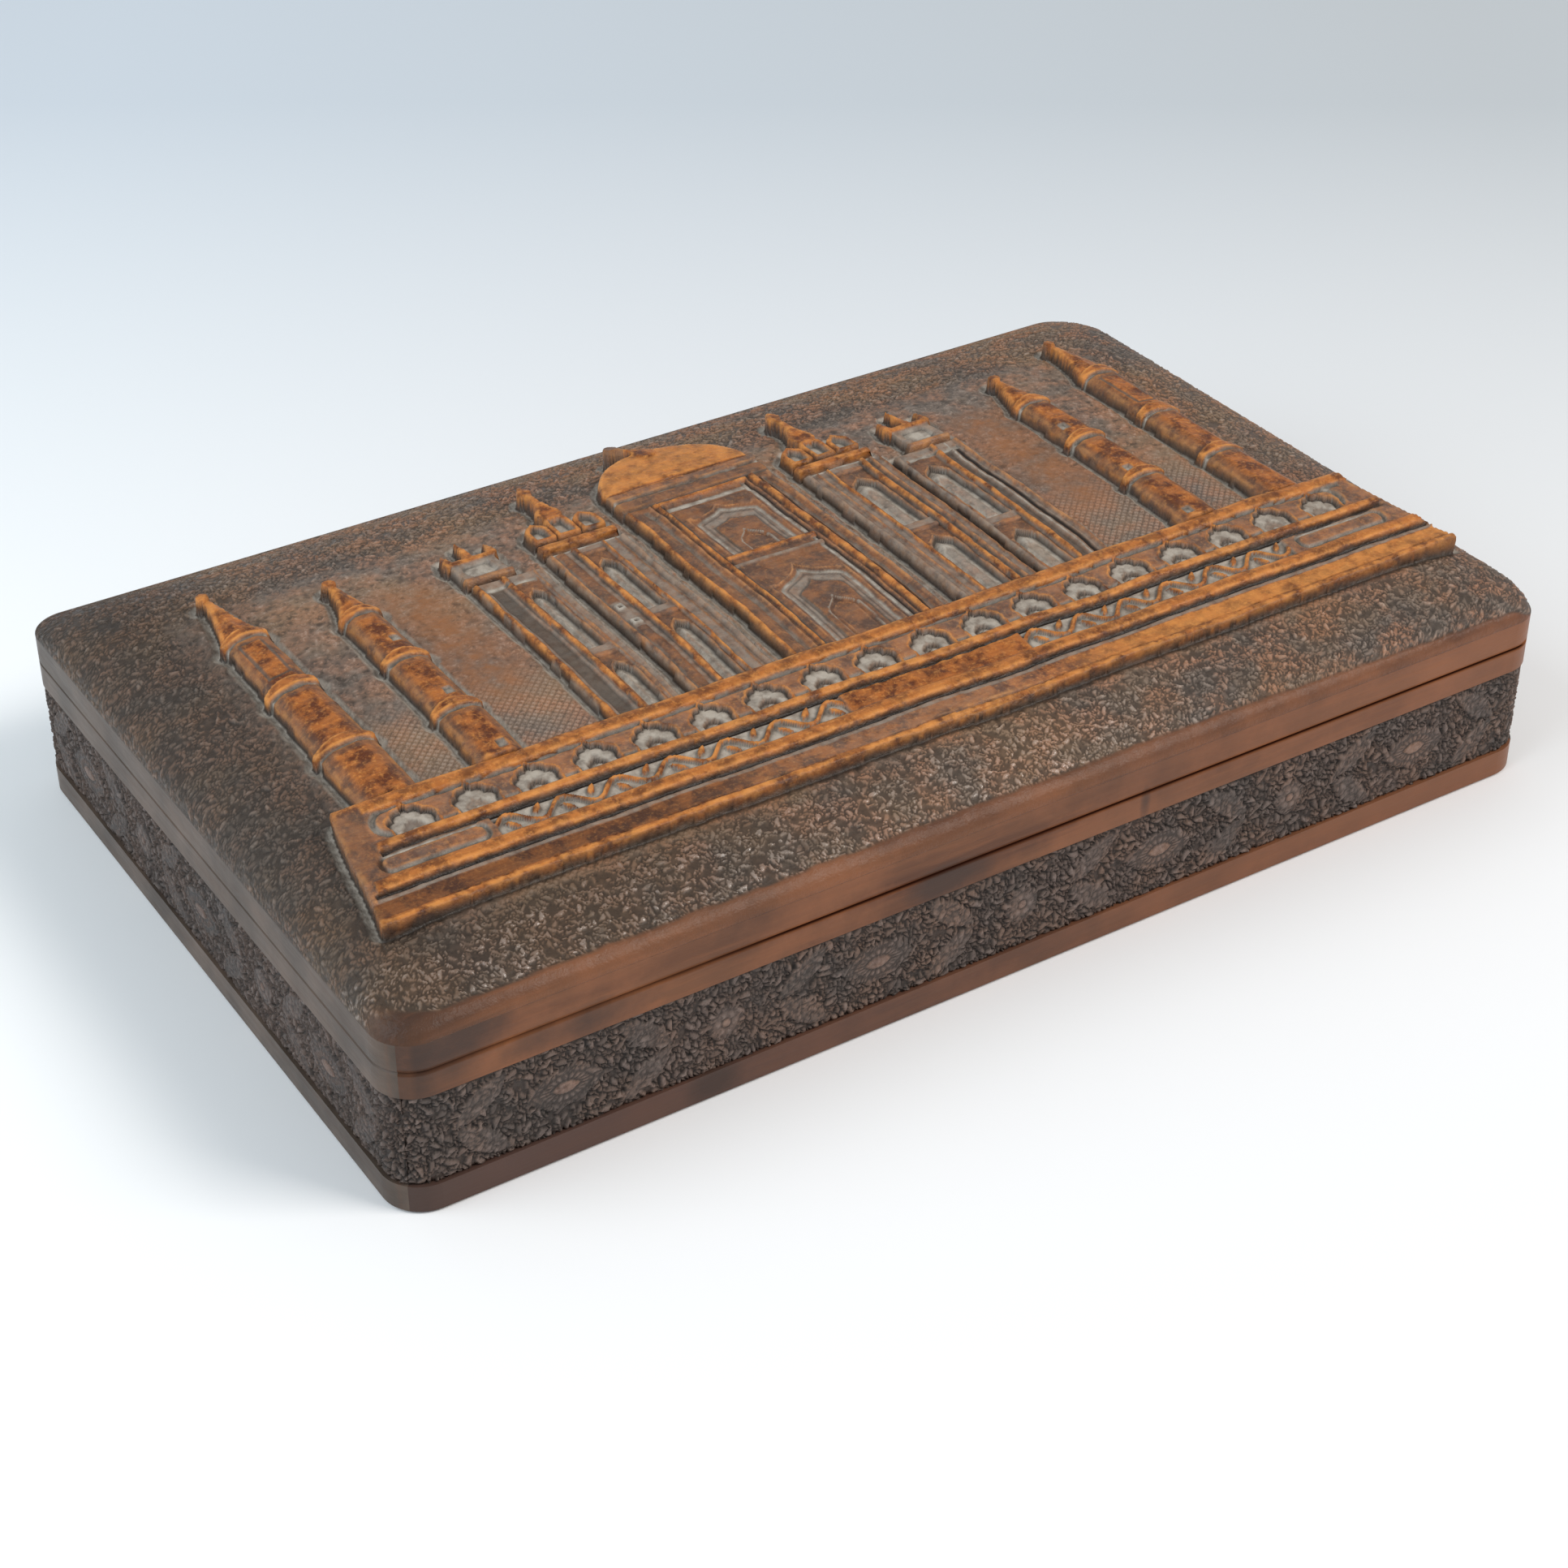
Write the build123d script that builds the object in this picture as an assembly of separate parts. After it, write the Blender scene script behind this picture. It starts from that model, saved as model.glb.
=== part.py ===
from build123d import *
import math
import os

# A low wooden box with a hinged lid, carved all over. Millimetres.
# X runs along the box, the front faces -Y, Z is up, and the origin is under the middle of the box.

# Driving sizes: the box
BOX_LENGTH = 300.0
BOX_DEPTH = 187.0
BASE_HEIGHT = 35.8
WALL_THICKNESS = 10.0
CORNER_RADIUS = 9.0
SEAM_EASE = 0.4
FOOT_EASE = 0.6

# Driving sizes: the deep carved strip round the base
STRIP_BOTTOM = 7.0
STRIP_TOP = 29.5
STRIP_DEPTH = 1.5

# Driving sizes: the main forms of the strip's carving, flowers and pairs of leaves on its floor
STRIP_RELIEF = 0.9
FLOWERS_PER_LONG_SIDE = 4
FLOWERS_PER_SHORT_SIDE = 3
FLOWER_LENGTH = 17.0
FLOWER_WIDTH = 9.0
ROSETTE_RADIUS = 3.8
LEAF_LENGTH = 14.0
LEAF_BREADTH = 4.6
LEAF_RISE = 5.0
LEAF_TILT = 38.0

# Driving sizes: the bottom board, its brads and the felt on it
BOTTOM_THICKNESS = 5.8
BOTTOM_RECESS = 0.2
REBATE_WIDTH = 4.0
BOARD_CLEARANCE = 0.2
BRAD_RADIUS = 0.6
BRAD_HEAD_RADIUS = 1.1
BRAD_HEAD_HEIGHT = 0.5
BRAD_LENGTH = 9.0
BRADS_PER_LONG_SIDE = 4
BRADS_PER_SHORT_SIDE = 2
FELT_THICKNESS = 1.0
FELT_CLEARANCE = 0.3

# Driving sizes: the lid, a carved board on four rails
RAIL_HEIGHT = 6.8
CROWN_RISE = 13.4
FRONT_SLOPE_REACH = 75.0
END_SLOPE_REACH = 45.0
BACK_SLOPE_REACH = 60.0
SHOULDER_SHARPNESS = 2.9
BACK_ROUNDNESS = 2.5
CROWN_TOP_ROUNDNESS = 0.404
CROWN_STEPS = 10

# Driving sizes: the hinges
HINGE_OFFSET_X = 85.0
HINGE_LENGTH = 30.0
HINGE_AXIS_INSET = 2.5
LEAF_WIDTH = 7.0
LEAF_THICKNESS = 1.1
LEAF_GAP = 0.1
KNUCKLE_RADIUS = 2.2
KNUCKLE_GAP = 0.15
PIN_RADIUS = 0.9
PIN_CLEARANCE = 0.05
BARREL_CLEARANCE = 0.25
MORTISE_CLEARANCE = 0.2
BEVEL_ANGLE = 50.0
SCREW_SHANK_RADIUS = 0.9
SCREW_HEAD_RADIUS = 1.7
SCREW_HEAD_HEIGHT = 0.8
SCREW_LENGTH = 5.6
SCREW_PITCH = 10.0
SCREW_SLOT_WIDTH = 0.5
SCREW_SLOT_DEPTH = 0.35

# Driving sizes: how far the carving stands above the crown
PANEL_RELIEF = 1.3
FACE_RELIEF = 2.2
RAIL_RELIEF = 3.0
BLOCK_RELIEF = 2.6
SPIRE_RELIEF = 3.0
TOWER_RELIEF = 3.4
DOME_RELIEF = 3.4

# Driving sizes: the terrace across the lid, measured in Y from the middle of the box
TERRACE_TOP = -34.0
TERRACE_FOOT = -69.5
TERRACE_TOP_LENGTH = 262.0
TERRACE_FOOT_LENGTH = 276.0
UPPER_RAIL_WIDTH = 4.2
NICHE_BAND_WIDTH = 9.0
MIDDLE_RAIL_WIDTH = 2.5
FRIEZE_WIDTH = 7.5
LOWER_RAIL_WIDTH = 4.0
COVE_WIDTH = 5.8
NICHE_COUNT = 18
NICHE_PITCH = 14.15
NICHE_WIDTH = 9.5
NICHE_HEIGHT = 7.2

# Driving sizes: the four round towers, each with collars and a spire
OUTER_TOWER_X = 118.7
INNER_TOWER_X = 93.7
OUTER_TOWER_RADIUS = 5.6
INNER_TOWER_RADIUS = 4.9
OUTER_SPIRE_TIP = 60.0
INNER_SPIRE_TIP = 48.5
OUTER_COLLARS = (38.5, 14.5, -12.0)
INNER_COLLARS = (33.0, 10.3, -12.8)
COLLAR_WIDTH = 3.2
COLLAR_LIP = 0.9

# Driving sizes: the middle block with its dome
BLOCK_HALF_WIDTH = 20.5
BLOCK_TOP = 47.5
BLOCK_PANEL_HALF_WIDTH = 11.5
UPPER_PANEL_BOTTOM = 10.0
UPPER_PANEL_TOP = 38.0
LOWER_PANEL_TOP = 5.0
BLOCK_ARCH_WIDTH = 15.0
BLOCK_ARCH_HEADROOM = 7.5
DOME_HEIGHT = 18.0
FINIAL_RADIUS = 1.8
FINIAL_LENGTH = 5.0

# Driving sizes: the two pavilions each side of the middle block
INNER_PAVILION = {"near": 25.2, "far": 45.6, "top": 36.0, "panel_near": 31.5, "panel_far": 38.5, "split": -2.0}
OUTER_PAVILION = {"near": 48.8, "far": 66.8, "top": 31.0, "panel_near": 51.0, "panel_far": 58.0, "split": -9.0}
PAVILION_PANEL_MARGIN = 5.0
PAVILION_PANEL_GAP = 4.0
PAVILION_ARCH_WIDTH = 6.5
CUPOLA_HEIGHT = 14.0
CUPOLA_ARCH_COUNT = 3
CUPOLA_ARCH_HEIGHT = 8.0
CUPOLA_ARCH_GAP = 1.8
SPIKE_LENGTH = 15.0
SPIKE_WIDTH = 3.4
CREST_HEIGHT = 9.5
CREST_HORN_WIDTH = 2.6
CREST_HORN_LENGTH = 6.0

# Sizes that follow
HALF_LENGTH = BOX_LENGTH / 2
HALF_DEPTH = BOX_DEPTH / 2
SEAM = BASE_HEIGHT
BOARD_UNDERSIDE = SEAM + RAIL_HEIGHT
CROWN_TOP = BOARD_UNDERSIDE + CROWN_RISE
FLOOR_TOP = BOTTOM_RECESS + BOTTOM_THICKNESS
AXIS_Y = HALF_DEPTH - HINGE_AXIS_INSET
CUT_MARGIN = 5.0
CARVING_CEILING = CROWN_TOP + DOME_RELIEF + CUT_MARGIN


def block(x_low, x_high, y_low, y_high, z_low, z_high):
    """A plain box between two corners."""
    size = Box(x_high - x_low, y_high - y_low, z_high - z_low)
    return Pos((x_low + x_high) / 2, (y_low + y_high) / 2, (z_low + z_high) / 2) * size


def rounded_plate(inset, bottom, top):
    """The plan outline of the box, drawn in by an inset, between two heights."""
    outline = RectangleRounded(BOX_LENGTH - 2 * inset, BOX_DEPTH - 2 * inset, CORNER_RADIUS - inset)
    return Pos(0, 0, bottom) * extrude(outline, amount=top - bottom)


def mitred_pieces(ring, bottom, top):
    """Cut a ring of four walls into its front, back, left and right pieces, mitred at the corners."""
    reach = WALL_THICKNESS + CUT_MARGIN
    pieces = {}
    for name, half_run, half_out, turn in (
        ("front", HALF_LENGTH, HALF_DEPTH, 0),
        ("right", HALF_DEPTH, HALF_LENGTH, 90),
        ("back", HALF_LENGTH, HALF_DEPTH, 180),
        ("left", HALF_DEPTH, HALF_LENGTH, 270),
    ):
        wedge = make_face(Polyline(
            (-half_run, -half_out), (half_run, -half_out),
            (half_run - reach, -half_out + reach), (-half_run + reach, -half_out + reach), close=True,
        ))
        cutter = Rot(0, 0, turn) * Pos(0, 0, bottom) * extrude(wedge, amount=top - bottom)
        pieces[name] = ring & cutter
    return pieces


def back_bevel(side):
    """The wedge taken off the back edge at the seam, below it (side -1) or above it (side 1)."""
    reach = HINGE_AXIS_INSET + CUT_MARGIN
    drop = side * reach * math.tan(math.radians(BEVEL_ANGLE))
    outline = make_face(Polyline((0, 0), (reach, 0), (reach, drop), close=True))
    wedge = extrude(Plane.YZ * outline, amount=HALF_LENGTH, both=True)
    return Pos(0, AXIS_Y, SEAM) * wedge


def hinge_cut(side):
    """The mortises and the barrel troughs of both hinges, below the seam (side -1) or above it (side 1)."""
    depth = LEAF_GAP + LEAF_THICKNESS
    low, high = sorted((SEAM, SEAM + side * depth))
    half = HINGE_LENGTH / 2 + MORTISE_CLEARANCE
    trough = Rot(0, 90, 0) * Cylinder(KNUCKLE_RADIUS + BARREL_CLEARANCE, 2 * half)
    cuts = []
    for hinge_x in (-HINGE_OFFSET_X, HINGE_OFFSET_X):
        pocket = block(hinge_x - half, hinge_x + half,
                       AXIS_Y - LEAF_WIDTH - MORTISE_CLEARANCE, AXIS_Y, low, high)
        cuts += [pocket, Pos(hinge_x, AXIS_Y, SEAM) * trough]
    return cuts


def knuckle_spans(owner):
    """The stretches of the barrel that belong to one leaf, along X from the hinge's middle."""
    third = HINGE_LENGTH / 3
    half = HINGE_LENGTH / 2
    if owner == "lid":
        return [(-third / 2 + KNUCKLE_GAP / 2, third / 2 - KNUCKLE_GAP / 2)]
    return [(-half, -third / 2 - KNUCKLE_GAP / 2), (third / 2 + KNUCKLE_GAP / 2, half)]


def screw_places():
    """Where the three screws of a leaf go: X from the hinge's middle, Y in the box."""
    return [(step * SCREW_PITCH, AXIS_Y - (LEAF_WIDTH + KNUCKLE_RADIUS) / 2) for step in (-1, 0, 1)]


def screw(slotted=True):
    """A countersunk screw, head up, the top of its head at Z 0."""
    head_shape = Cone(SCREW_SHANK_RADIUS, SCREW_HEAD_RADIUS, SCREW_HEAD_HEIGHT)
    head = Pos(0, 0, -SCREW_HEAD_HEIGHT / 2) * head_shape
    shank_length = SCREW_LENGTH - SCREW_HEAD_HEIGHT
    shank = Pos(0, 0, -SCREW_HEAD_HEIGHT - shank_length / 2) * Cylinder(SCREW_SHANK_RADIUS, shank_length)
    body = head + shank
    if slotted:
        slot = Box(2 * SCREW_HEAD_RADIUS, SCREW_SLOT_WIDTH, 2 * SCREW_SLOT_DEPTH)
        body -= slot
    return body


def place_screw(shape, hinge_x, place, side):
    """Put a screw into the base (side -1) or, turned over, into the lid (side 1)."""
    turned = Rot(180, 0, 0) * shape if side > 0 else shape
    return Pos(hinge_x + place[0], place[1], SEAM + side * LEAF_GAP) * turned


def all_screws(side, slotted=True):
    """The screws of both hinges in one half of the box."""
    return [place_screw(screw(slotted), hinge_x, place, side)
            for hinge_x in (-HINGE_OFFSET_X, HINGE_OFFSET_X) for place in screw_places()]


def hinge_leaf(hinge_x, owner):
    """One leaf with its knuckles, screwed to the base or the lid."""
    side = 1 if owner == "lid" else -1
    low, high = sorted((SEAM + side * LEAF_GAP, SEAM + side * (LEAF_GAP + LEAF_THICKNESS)))
    half = HINGE_LENGTH / 2
    clear = KNUCKLE_RADIUS + MORTISE_CLEARANCE
    leaf = block(-half, half, AXIS_Y - LEAF_WIDTH, AXIS_Y - clear, low, high)
    barrel = Rot(0, 90, 0) * Cylinder(KNUCKLE_RADIUS, 1)
    for start, end in knuckle_spans(owner):
        leaf += block(start, end, AXIS_Y - clear, AXIS_Y, low, high)
        knuckle = Rot(0, 90, 0) * Cylinder(KNUCKLE_RADIUS, end - start)
        leaf += Pos((start + end) / 2, AXIS_Y, SEAM) * knuckle
    bore_radius = PIN_RADIUS + PIN_CLEARANCE if owner == "lid" else PIN_RADIUS
    bore = Rot(0, 90, 0) * Cylinder(bore_radius, HINGE_LENGTH + CUT_MARGIN)
    leaf -= Pos(0, AXIS_Y, SEAM) * bore
    for place in screw_places():
        leaf -= place_screw(screw(slotted=False), 0, place, side)
    return Pos(hinge_x, 0, 0) * leaf


def hinge_pin(hinge_x):
    """The pin, held by the base knuckles, on which the lid knuckle turns."""
    pin = Rot(0, 90, 0) * Cylinder(PIN_RADIUS, HINGE_LENGTH)
    return Pos(hinge_x, AXIS_Y, SEAM) * pin


def brad_places():
    """Where the brads go: along the middle of the rebate's ledge."""
    x_edge = HALF_LENGTH - WALL_THICKNESS + REBATE_WIDTH / 2
    y_edge = HALF_DEPTH - WALL_THICKNESS + REBATE_WIDTH / 2
    places = []
    for side in (-1, 1):
        for index in range(BRADS_PER_LONG_SIDE):
            share = (index + 0.5) / BRADS_PER_LONG_SIDE - 0.5
            places.append((share * 2 * x_edge, side * y_edge))
        for index in range(BRADS_PER_SHORT_SIDE):
            share = (index + 0.5) / BRADS_PER_SHORT_SIDE - 0.5
            places.append((side * x_edge, share * 2 * y_edge))
    return places


def brad():
    """A brad, head down, the underside of its head at Z 0."""
    head = Pos(0, 0, BRAD_HEAD_HEIGHT / 2) * Cylinder(BRAD_HEAD_RADIUS, BRAD_HEAD_HEIGHT)
    shank_length = BRAD_LENGTH - BRAD_HEAD_HEIGHT
    shank = Pos(0, 0, BRAD_HEAD_HEIGHT + shank_length / 2) * Cylinder(BRAD_RADIUS, shank_length)
    return head + shank


def all_brads():
    """Every brad that holds the bottom board."""
    return [Pos(x, y, BOTTOM_RECESS) * brad() for x, y in brad_places()]


def lens(length, width):
    """A pointed oval outline, lying along X."""
    upper = ThreePointArc((-length / 2, 0), (0, width / 2), (length / 2, 0))
    lower = ThreePointArc((length / 2, 0), (0, -width / 2), (-length / 2, 0))
    return make_face(upper + lower)


def strip_outlines(run, count):
    """The main forms of one wall's strip: X along the wall from its middle, Y the height above the ground."""
    middle = (STRIP_BOTTOM + STRIP_TOP) / 2
    pitch = run / count
    forms = []
    for index in range(count):
        flower_x = (index - (count - 1) / 2) * pitch
        forms.append(Pos(flower_x, middle) * lens(FLOWER_LENGTH, FLOWER_WIDTH))
        if index:
            forms.append(Pos(flower_x - pitch / 2, middle) * Circle(ROSETTE_RADIUS))
        for side in (-1, 1):
            for level in (-1, 1):
                turned = Rot(0, 0, -side * level * LEAF_TILT) * lens(LEAF_LENGTH, LEAF_BREADTH)
                forms.append(Pos(flower_x + side * pitch / 4, middle + level * LEAF_RISE) * turned)
    return forms


def strip_forms():
    """The main forms of all four strips, rooted in the walls."""
    solids = []
    for run, count, half_out, turn in (
        (BOX_LENGTH, FLOWERS_PER_LONG_SIDE, HALF_DEPTH, 0), (BOX_DEPTH, FLOWERS_PER_SHORT_SIDE, HALF_LENGTH, 90),
        (BOX_LENGTH, FLOWERS_PER_LONG_SIDE, HALF_DEPTH, 180), (BOX_DEPTH, FLOWERS_PER_SHORT_SIDE, HALF_LENGTH, 270),
    ):
        root = Plane.XZ.offset(half_out - STRIP_DEPTH - STRIP_RELIEF)
        for form in strip_outlines(run, count):
            solids.append(Rot(0, 0, turn) * extrude(root * form, amount=2 * STRIP_RELIEF))
    return solids


def base_walls():
    """The four mitred walls of the base."""
    outside = rounded_plate(0, 0, BASE_HEIGHT)
    outside = chamfer(outside.edges().group_by(Axis.Z)[-1], SEAM_EASE)
    outside = chamfer(outside.edges().group_by(Axis.Z)[0], FOOT_EASE)
    inside_x = HALF_LENGTH - WALL_THICKNESS
    inside_y = HALF_DEPTH - WALL_THICKNESS
    ring = outside - block(-inside_x, inside_x, -inside_y, inside_y, -CUT_MARGIN, BASE_HEIGHT + CUT_MARGIN)
    ledge_x = inside_x + REBATE_WIDTH
    ledge_y = inside_y + REBATE_WIDTH
    ring -= block(-ledge_x, ledge_x, -ledge_y, ledge_y, -CUT_MARGIN, FLOOR_TOP)
    ring -= rounded_plate(0, STRIP_BOTTOM, STRIP_TOP) - rounded_plate(STRIP_DEPTH, STRIP_BOTTOM, STRIP_TOP)
    ring += strip_forms()
    ring -= back_bevel(-1)
    for cut in hinge_cut(-1) + all_screws(-1, slotted=False) + all_brads():
        ring -= cut
    return mitred_pieces(ring, 0, BASE_HEIGHT)


def bottom_board():
    """The board let into the walls from below, with its brad holes."""
    ledge_x = HALF_LENGTH - WALL_THICKNESS + REBATE_WIDTH - BOARD_CLEARANCE
    ledge_y = HALF_DEPTH - WALL_THICKNESS + REBATE_WIDTH - BOARD_CLEARANCE
    board = block(-ledge_x, ledge_x, -ledge_y, ledge_y, BOTTOM_RECESS, FLOOR_TOP)
    for nail in all_brads():
        board -= nail
    return board


def floor_felt():
    """The felt laid on the floor of the box."""
    half_x = HALF_LENGTH - WALL_THICKNESS - FELT_CLEARANCE
    half_y = HALF_DEPTH - WALL_THICKNESS - FELT_CLEARANCE
    return block(-half_x, half_x, -half_y, half_y, FLOOR_TOP, FLOOR_TOP + FELT_THICKNESS)


def lid_rails():
    """The four mitred rails under the carved board."""
    ring = rounded_plate(0, SEAM, BOARD_UNDERSIDE)
    ring = chamfer(ring.edges().group_by(Axis.Z)[0], SEAM_EASE)
    inside_x = HALF_LENGTH - WALL_THICKNESS
    inside_y = HALF_DEPTH - WALL_THICKNESS
    ring -= block(-inside_x, inside_x, -inside_y, inside_y, SEAM - CUT_MARGIN, BOARD_UNDERSIDE + CUT_MARGIN)
    ring -= back_bevel(1)
    for cut in hinge_cut(1) + all_screws(1, slotted=False):
        ring -= cut
    return mitred_pieces(ring, SEAM, BOARD_UNDERSIDE)


def crown(raised=0.0):
    """The crowned top of the lid: steep shoulders at the front and ends, a rounder slope at the back."""
    top_corner = CROWN_TOP_ROUNDNESS * (BOX_DEPTH - FRONT_SLOPE_REACH - BACK_SLOPE_REACH)
    sections = []
    for step in range(CROWN_STEPS + 1):
        share = step / CROWN_STEPS
        front = FRONT_SLOPE_REACH * share ** SHOULDER_SHARPNESS
        end = END_SLOPE_REACH * share ** SHOULDER_SHARPNESS
        back = BACK_SLOPE_REACH * (1 - (1 - share) ** (1 / BACK_ROUNDNESS))
        outline = RectangleRounded(BOX_LENGTH - 2 * end, BOX_DEPTH - front - back,
                                   CORNER_RADIUS + (top_corner - CORNER_RADIUS) * share)
        sections.append(Pos(0, (front - back) / 2, BOARD_UNDERSIDE + raised + CROWN_RISE * share) * outline)
    return loft(sections, ruled=True)


def crown_height(x, y):
    """The height of the crown over a point, away from its corners."""
    front = (max(y + HALF_DEPTH, 0) / FRONT_SLOPE_REACH) ** (1 / SHOULDER_SHARPNESS)
    end = (max(HALF_LENGTH - abs(x), 0) / END_SLOPE_REACH) ** (1 / SHOULDER_SHARPNESS)
    back = 1 - max(1 - (HALF_DEPTH - y) / BACK_SLOPE_REACH, 0) ** BACK_ROUNDNESS
    return BOARD_UNDERSIDE + CROWN_RISE * min(front, end, back, 1)


def arch(middle, foot, width, height, point):
    """A pointed arch outline: straight sides, then two arcs that meet at the top."""
    half = width / 2
    spring = foot + height - point
    swell = 0.32
    left = ThreePointArc((middle - half, spring),
                         (middle - half * (1 - swell), spring + point * (1 - swell)), (middle, foot + height))
    right = ThreePointArc((middle, foot + height),
                          (middle + half * (1 - swell), spring + point * (1 - swell)), (middle + half, spring))
    sides = Polyline((middle + half, spring), (middle + half, foot), (middle - half, foot),
                     (middle - half, spring))
    return make_face(left + right + sides)


def rectangle(x_low, x_high, y_low, y_high):
    """A rectangle in plan between two corners."""
    return Pos((x_low + x_high) / 2, (y_low + y_high) / 2) * Rectangle(x_high - x_low, y_high - y_low)


def terrace_half_length(y):
    """Half the length of the terrace at one Y: it widens towards its foot."""
    share = (TERRACE_TOP - y) / (TERRACE_TOP - TERRACE_FOOT)
    return (TERRACE_TOP_LENGTH + share * (TERRACE_FOOT_LENGTH - TERRACE_TOP_LENGTH)) / 2


def terrace_strip(y_high, y_low):
    """One strip of the terrace in plan."""
    high, low = terrace_half_length(y_high), terrace_half_length(y_low)
    return make_face(Polyline((-high, y_high), (high, y_high), (low, y_low), (-low, y_low), close=True))


def terrace_layers():
    """The terrace: a stepped face with three rails, a row of niches, a frieze, a cove and a foot moulding."""
    niche_band_top = TERRACE_TOP - UPPER_RAIL_WIDTH
    middle_rail_top = niche_band_top - NICHE_BAND_WIDTH
    frieze_top = middle_rail_top - MIDDLE_RAIL_WIDTH
    lower_rail_top = frieze_top - FRIEZE_WIDTH
    cove_top = lower_rail_top - LOWER_RAIL_WIDTH
    foot_top = cove_top - COVE_WIDTH
    face = terrace_strip(TERRACE_TOP, TERRACE_FOOT)
    for index in range(NICHE_COUNT):
        middle = (index - (NICHE_COUNT - 1) / 2) * NICHE_PITCH
        face -= arch(middle, middle_rail_top, NICHE_WIDTH, NICHE_HEIGHT, NICHE_HEIGHT / 2)
    cove = terrace_strip(cove_top, foot_top)
    rails = [terrace_strip(TERRACE_TOP, niche_band_top), terrace_strip(middle_rail_top, frieze_top),
             terrace_strip(lower_rail_top, cove_top), terrace_strip(foot_top, TERRACE_FOOT)]
    return [(face - cove, FACE_RELIEF), (cove, PANEL_RELIEF)] + [(rail, RAIL_RELIEF) for rail in rails]


def middle_block_layers():
    """The middle block with two arched panels, its dome and the finial."""
    whole = rectangle(-BLOCK_HALF_WIDTH, BLOCK_HALF_WIDTH, TERRACE_TOP, BLOCK_TOP)
    half = BLOCK_PANEL_HALF_WIDTH
    upper = rectangle(-half, half, UPPER_PANEL_BOTTOM, UPPER_PANEL_TOP)
    lower = rectangle(-half, half, TERRACE_TOP, LOWER_PANEL_TOP)
    floors = upper + lower
    for foot, top in ((UPPER_PANEL_BOTTOM, UPPER_PANEL_TOP), (TERRACE_TOP, LOWER_PANEL_TOP)):
        height = top - foot - BLOCK_ARCH_HEADROOM
        floors -= arch(0, foot, BLOCK_ARCH_WIDTH, height, BLOCK_ARCH_WIDTH / 2)
    dome = Pos(0, BLOCK_TOP) * Ellipse(BLOCK_HALF_WIDTH, DOME_HEIGHT)
    dome &= rectangle(-BLOCK_HALF_WIDTH, BLOCK_HALF_WIDTH, BLOCK_TOP, BLOCK_TOP + DOME_HEIGHT)
    dome_top = BLOCK_TOP + DOME_HEIGHT
    finial = rectangle(-FINIAL_RADIUS, FINIAL_RADIUS, dome_top - FINIAL_RADIUS, dome_top + FINIAL_LENGTH)
    return [(whole - upper - lower, BLOCK_RELIEF), (floors, PANEL_RELIEF),
            (dome, DOME_RELIEF), (finial, DOME_RELIEF)]


def pavilion_layers(sizes):
    """One pavilion beside the middle block, on the +X side: a frame with two stacked arched panels."""
    whole = rectangle(sizes["near"], sizes["far"], TERRACE_TOP, sizes["top"])
    low, high = sizes["panel_near"], sizes["panel_far"]
    top_panel = rectangle(low, high, sizes["split"] + PAVILION_PANEL_GAP, sizes["top"] - PAVILION_PANEL_MARGIN)
    bottom_panel = rectangle(low, high, TERRACE_TOP, sizes["split"])
    floors = top_panel + bottom_panel
    for foot, top in ((sizes["split"] + PAVILION_PANEL_GAP, sizes["top"] - PAVILION_PANEL_MARGIN),
                      (TERRACE_TOP, sizes["split"])):
        height = top - foot - PAVILION_PANEL_GAP
        floors -= arch((low + high) / 2, foot, PAVILION_ARCH_WIDTH, height, PAVILION_ARCH_WIDTH / 2)
    return [(whole - top_panel - bottom_panel, FACE_RELIEF), (floors, PANEL_RELIEF)]


def cupola_layers(sizes):
    """The open three-arched cupola and the spike on top of the inner pavilion."""
    near, far, foot = sizes["near"], sizes["far"], sizes["top"]
    middle = (near + far) / 2
    half = (far - near) / 2
    house = rectangle(near, far, foot, foot + CUPOLA_ARCH_HEIGHT)
    roof = Pos(middle, foot + CUPOLA_ARCH_HEIGHT) * Ellipse(half, CUPOLA_HEIGHT - CUPOLA_ARCH_HEIGHT)
    house += roof & rectangle(near, far, foot + CUPOLA_ARCH_HEIGHT, foot + CUPOLA_HEIGHT)
    pitch = (far - near) / CUPOLA_ARCH_COUNT
    for index in range(CUPOLA_ARCH_COUNT):
        width = pitch - CUPOLA_ARCH_GAP
        house -= arch(near + pitch * (index + 0.5), foot + CUPOLA_ARCH_GAP, width, CUPOLA_ARCH_HEIGHT, width / 2)
    spike_foot = foot + CUPOLA_HEIGHT - CUPOLA_ARCH_GAP
    spike = make_face(Polyline((middle - SPIKE_WIDTH / 2, spike_foot), (middle + SPIKE_WIDTH / 2, spike_foot),
                               (middle, spike_foot + SPIKE_LENGTH), close=True))
    return [(house, FACE_RELIEF), (spike, RAIL_RELIEF)]


def crest_layers(sizes):
    """The crest on top of the outer pavilion: a low block with three horns."""
    near, far, foot = sizes["near"], sizes["far"], sizes["top"]
    crest = rectangle(near, far, foot, foot + CREST_HEIGHT)
    for share in (0.15, 0.5, 0.85):
        middle = near + (far - near) * share
        top = foot + CREST_HEIGHT
        crest += make_face(Polyline((middle - CREST_HORN_WIDTH / 2, top - CUT_MARGIN / 10),
                                    (middle + CREST_HORN_WIDTH / 2, top - CUT_MARGIN / 10),
                                    (middle, top + CREST_HORN_LENGTH), close=True))
    return [(crest, FACE_RELIEF)]


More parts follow.
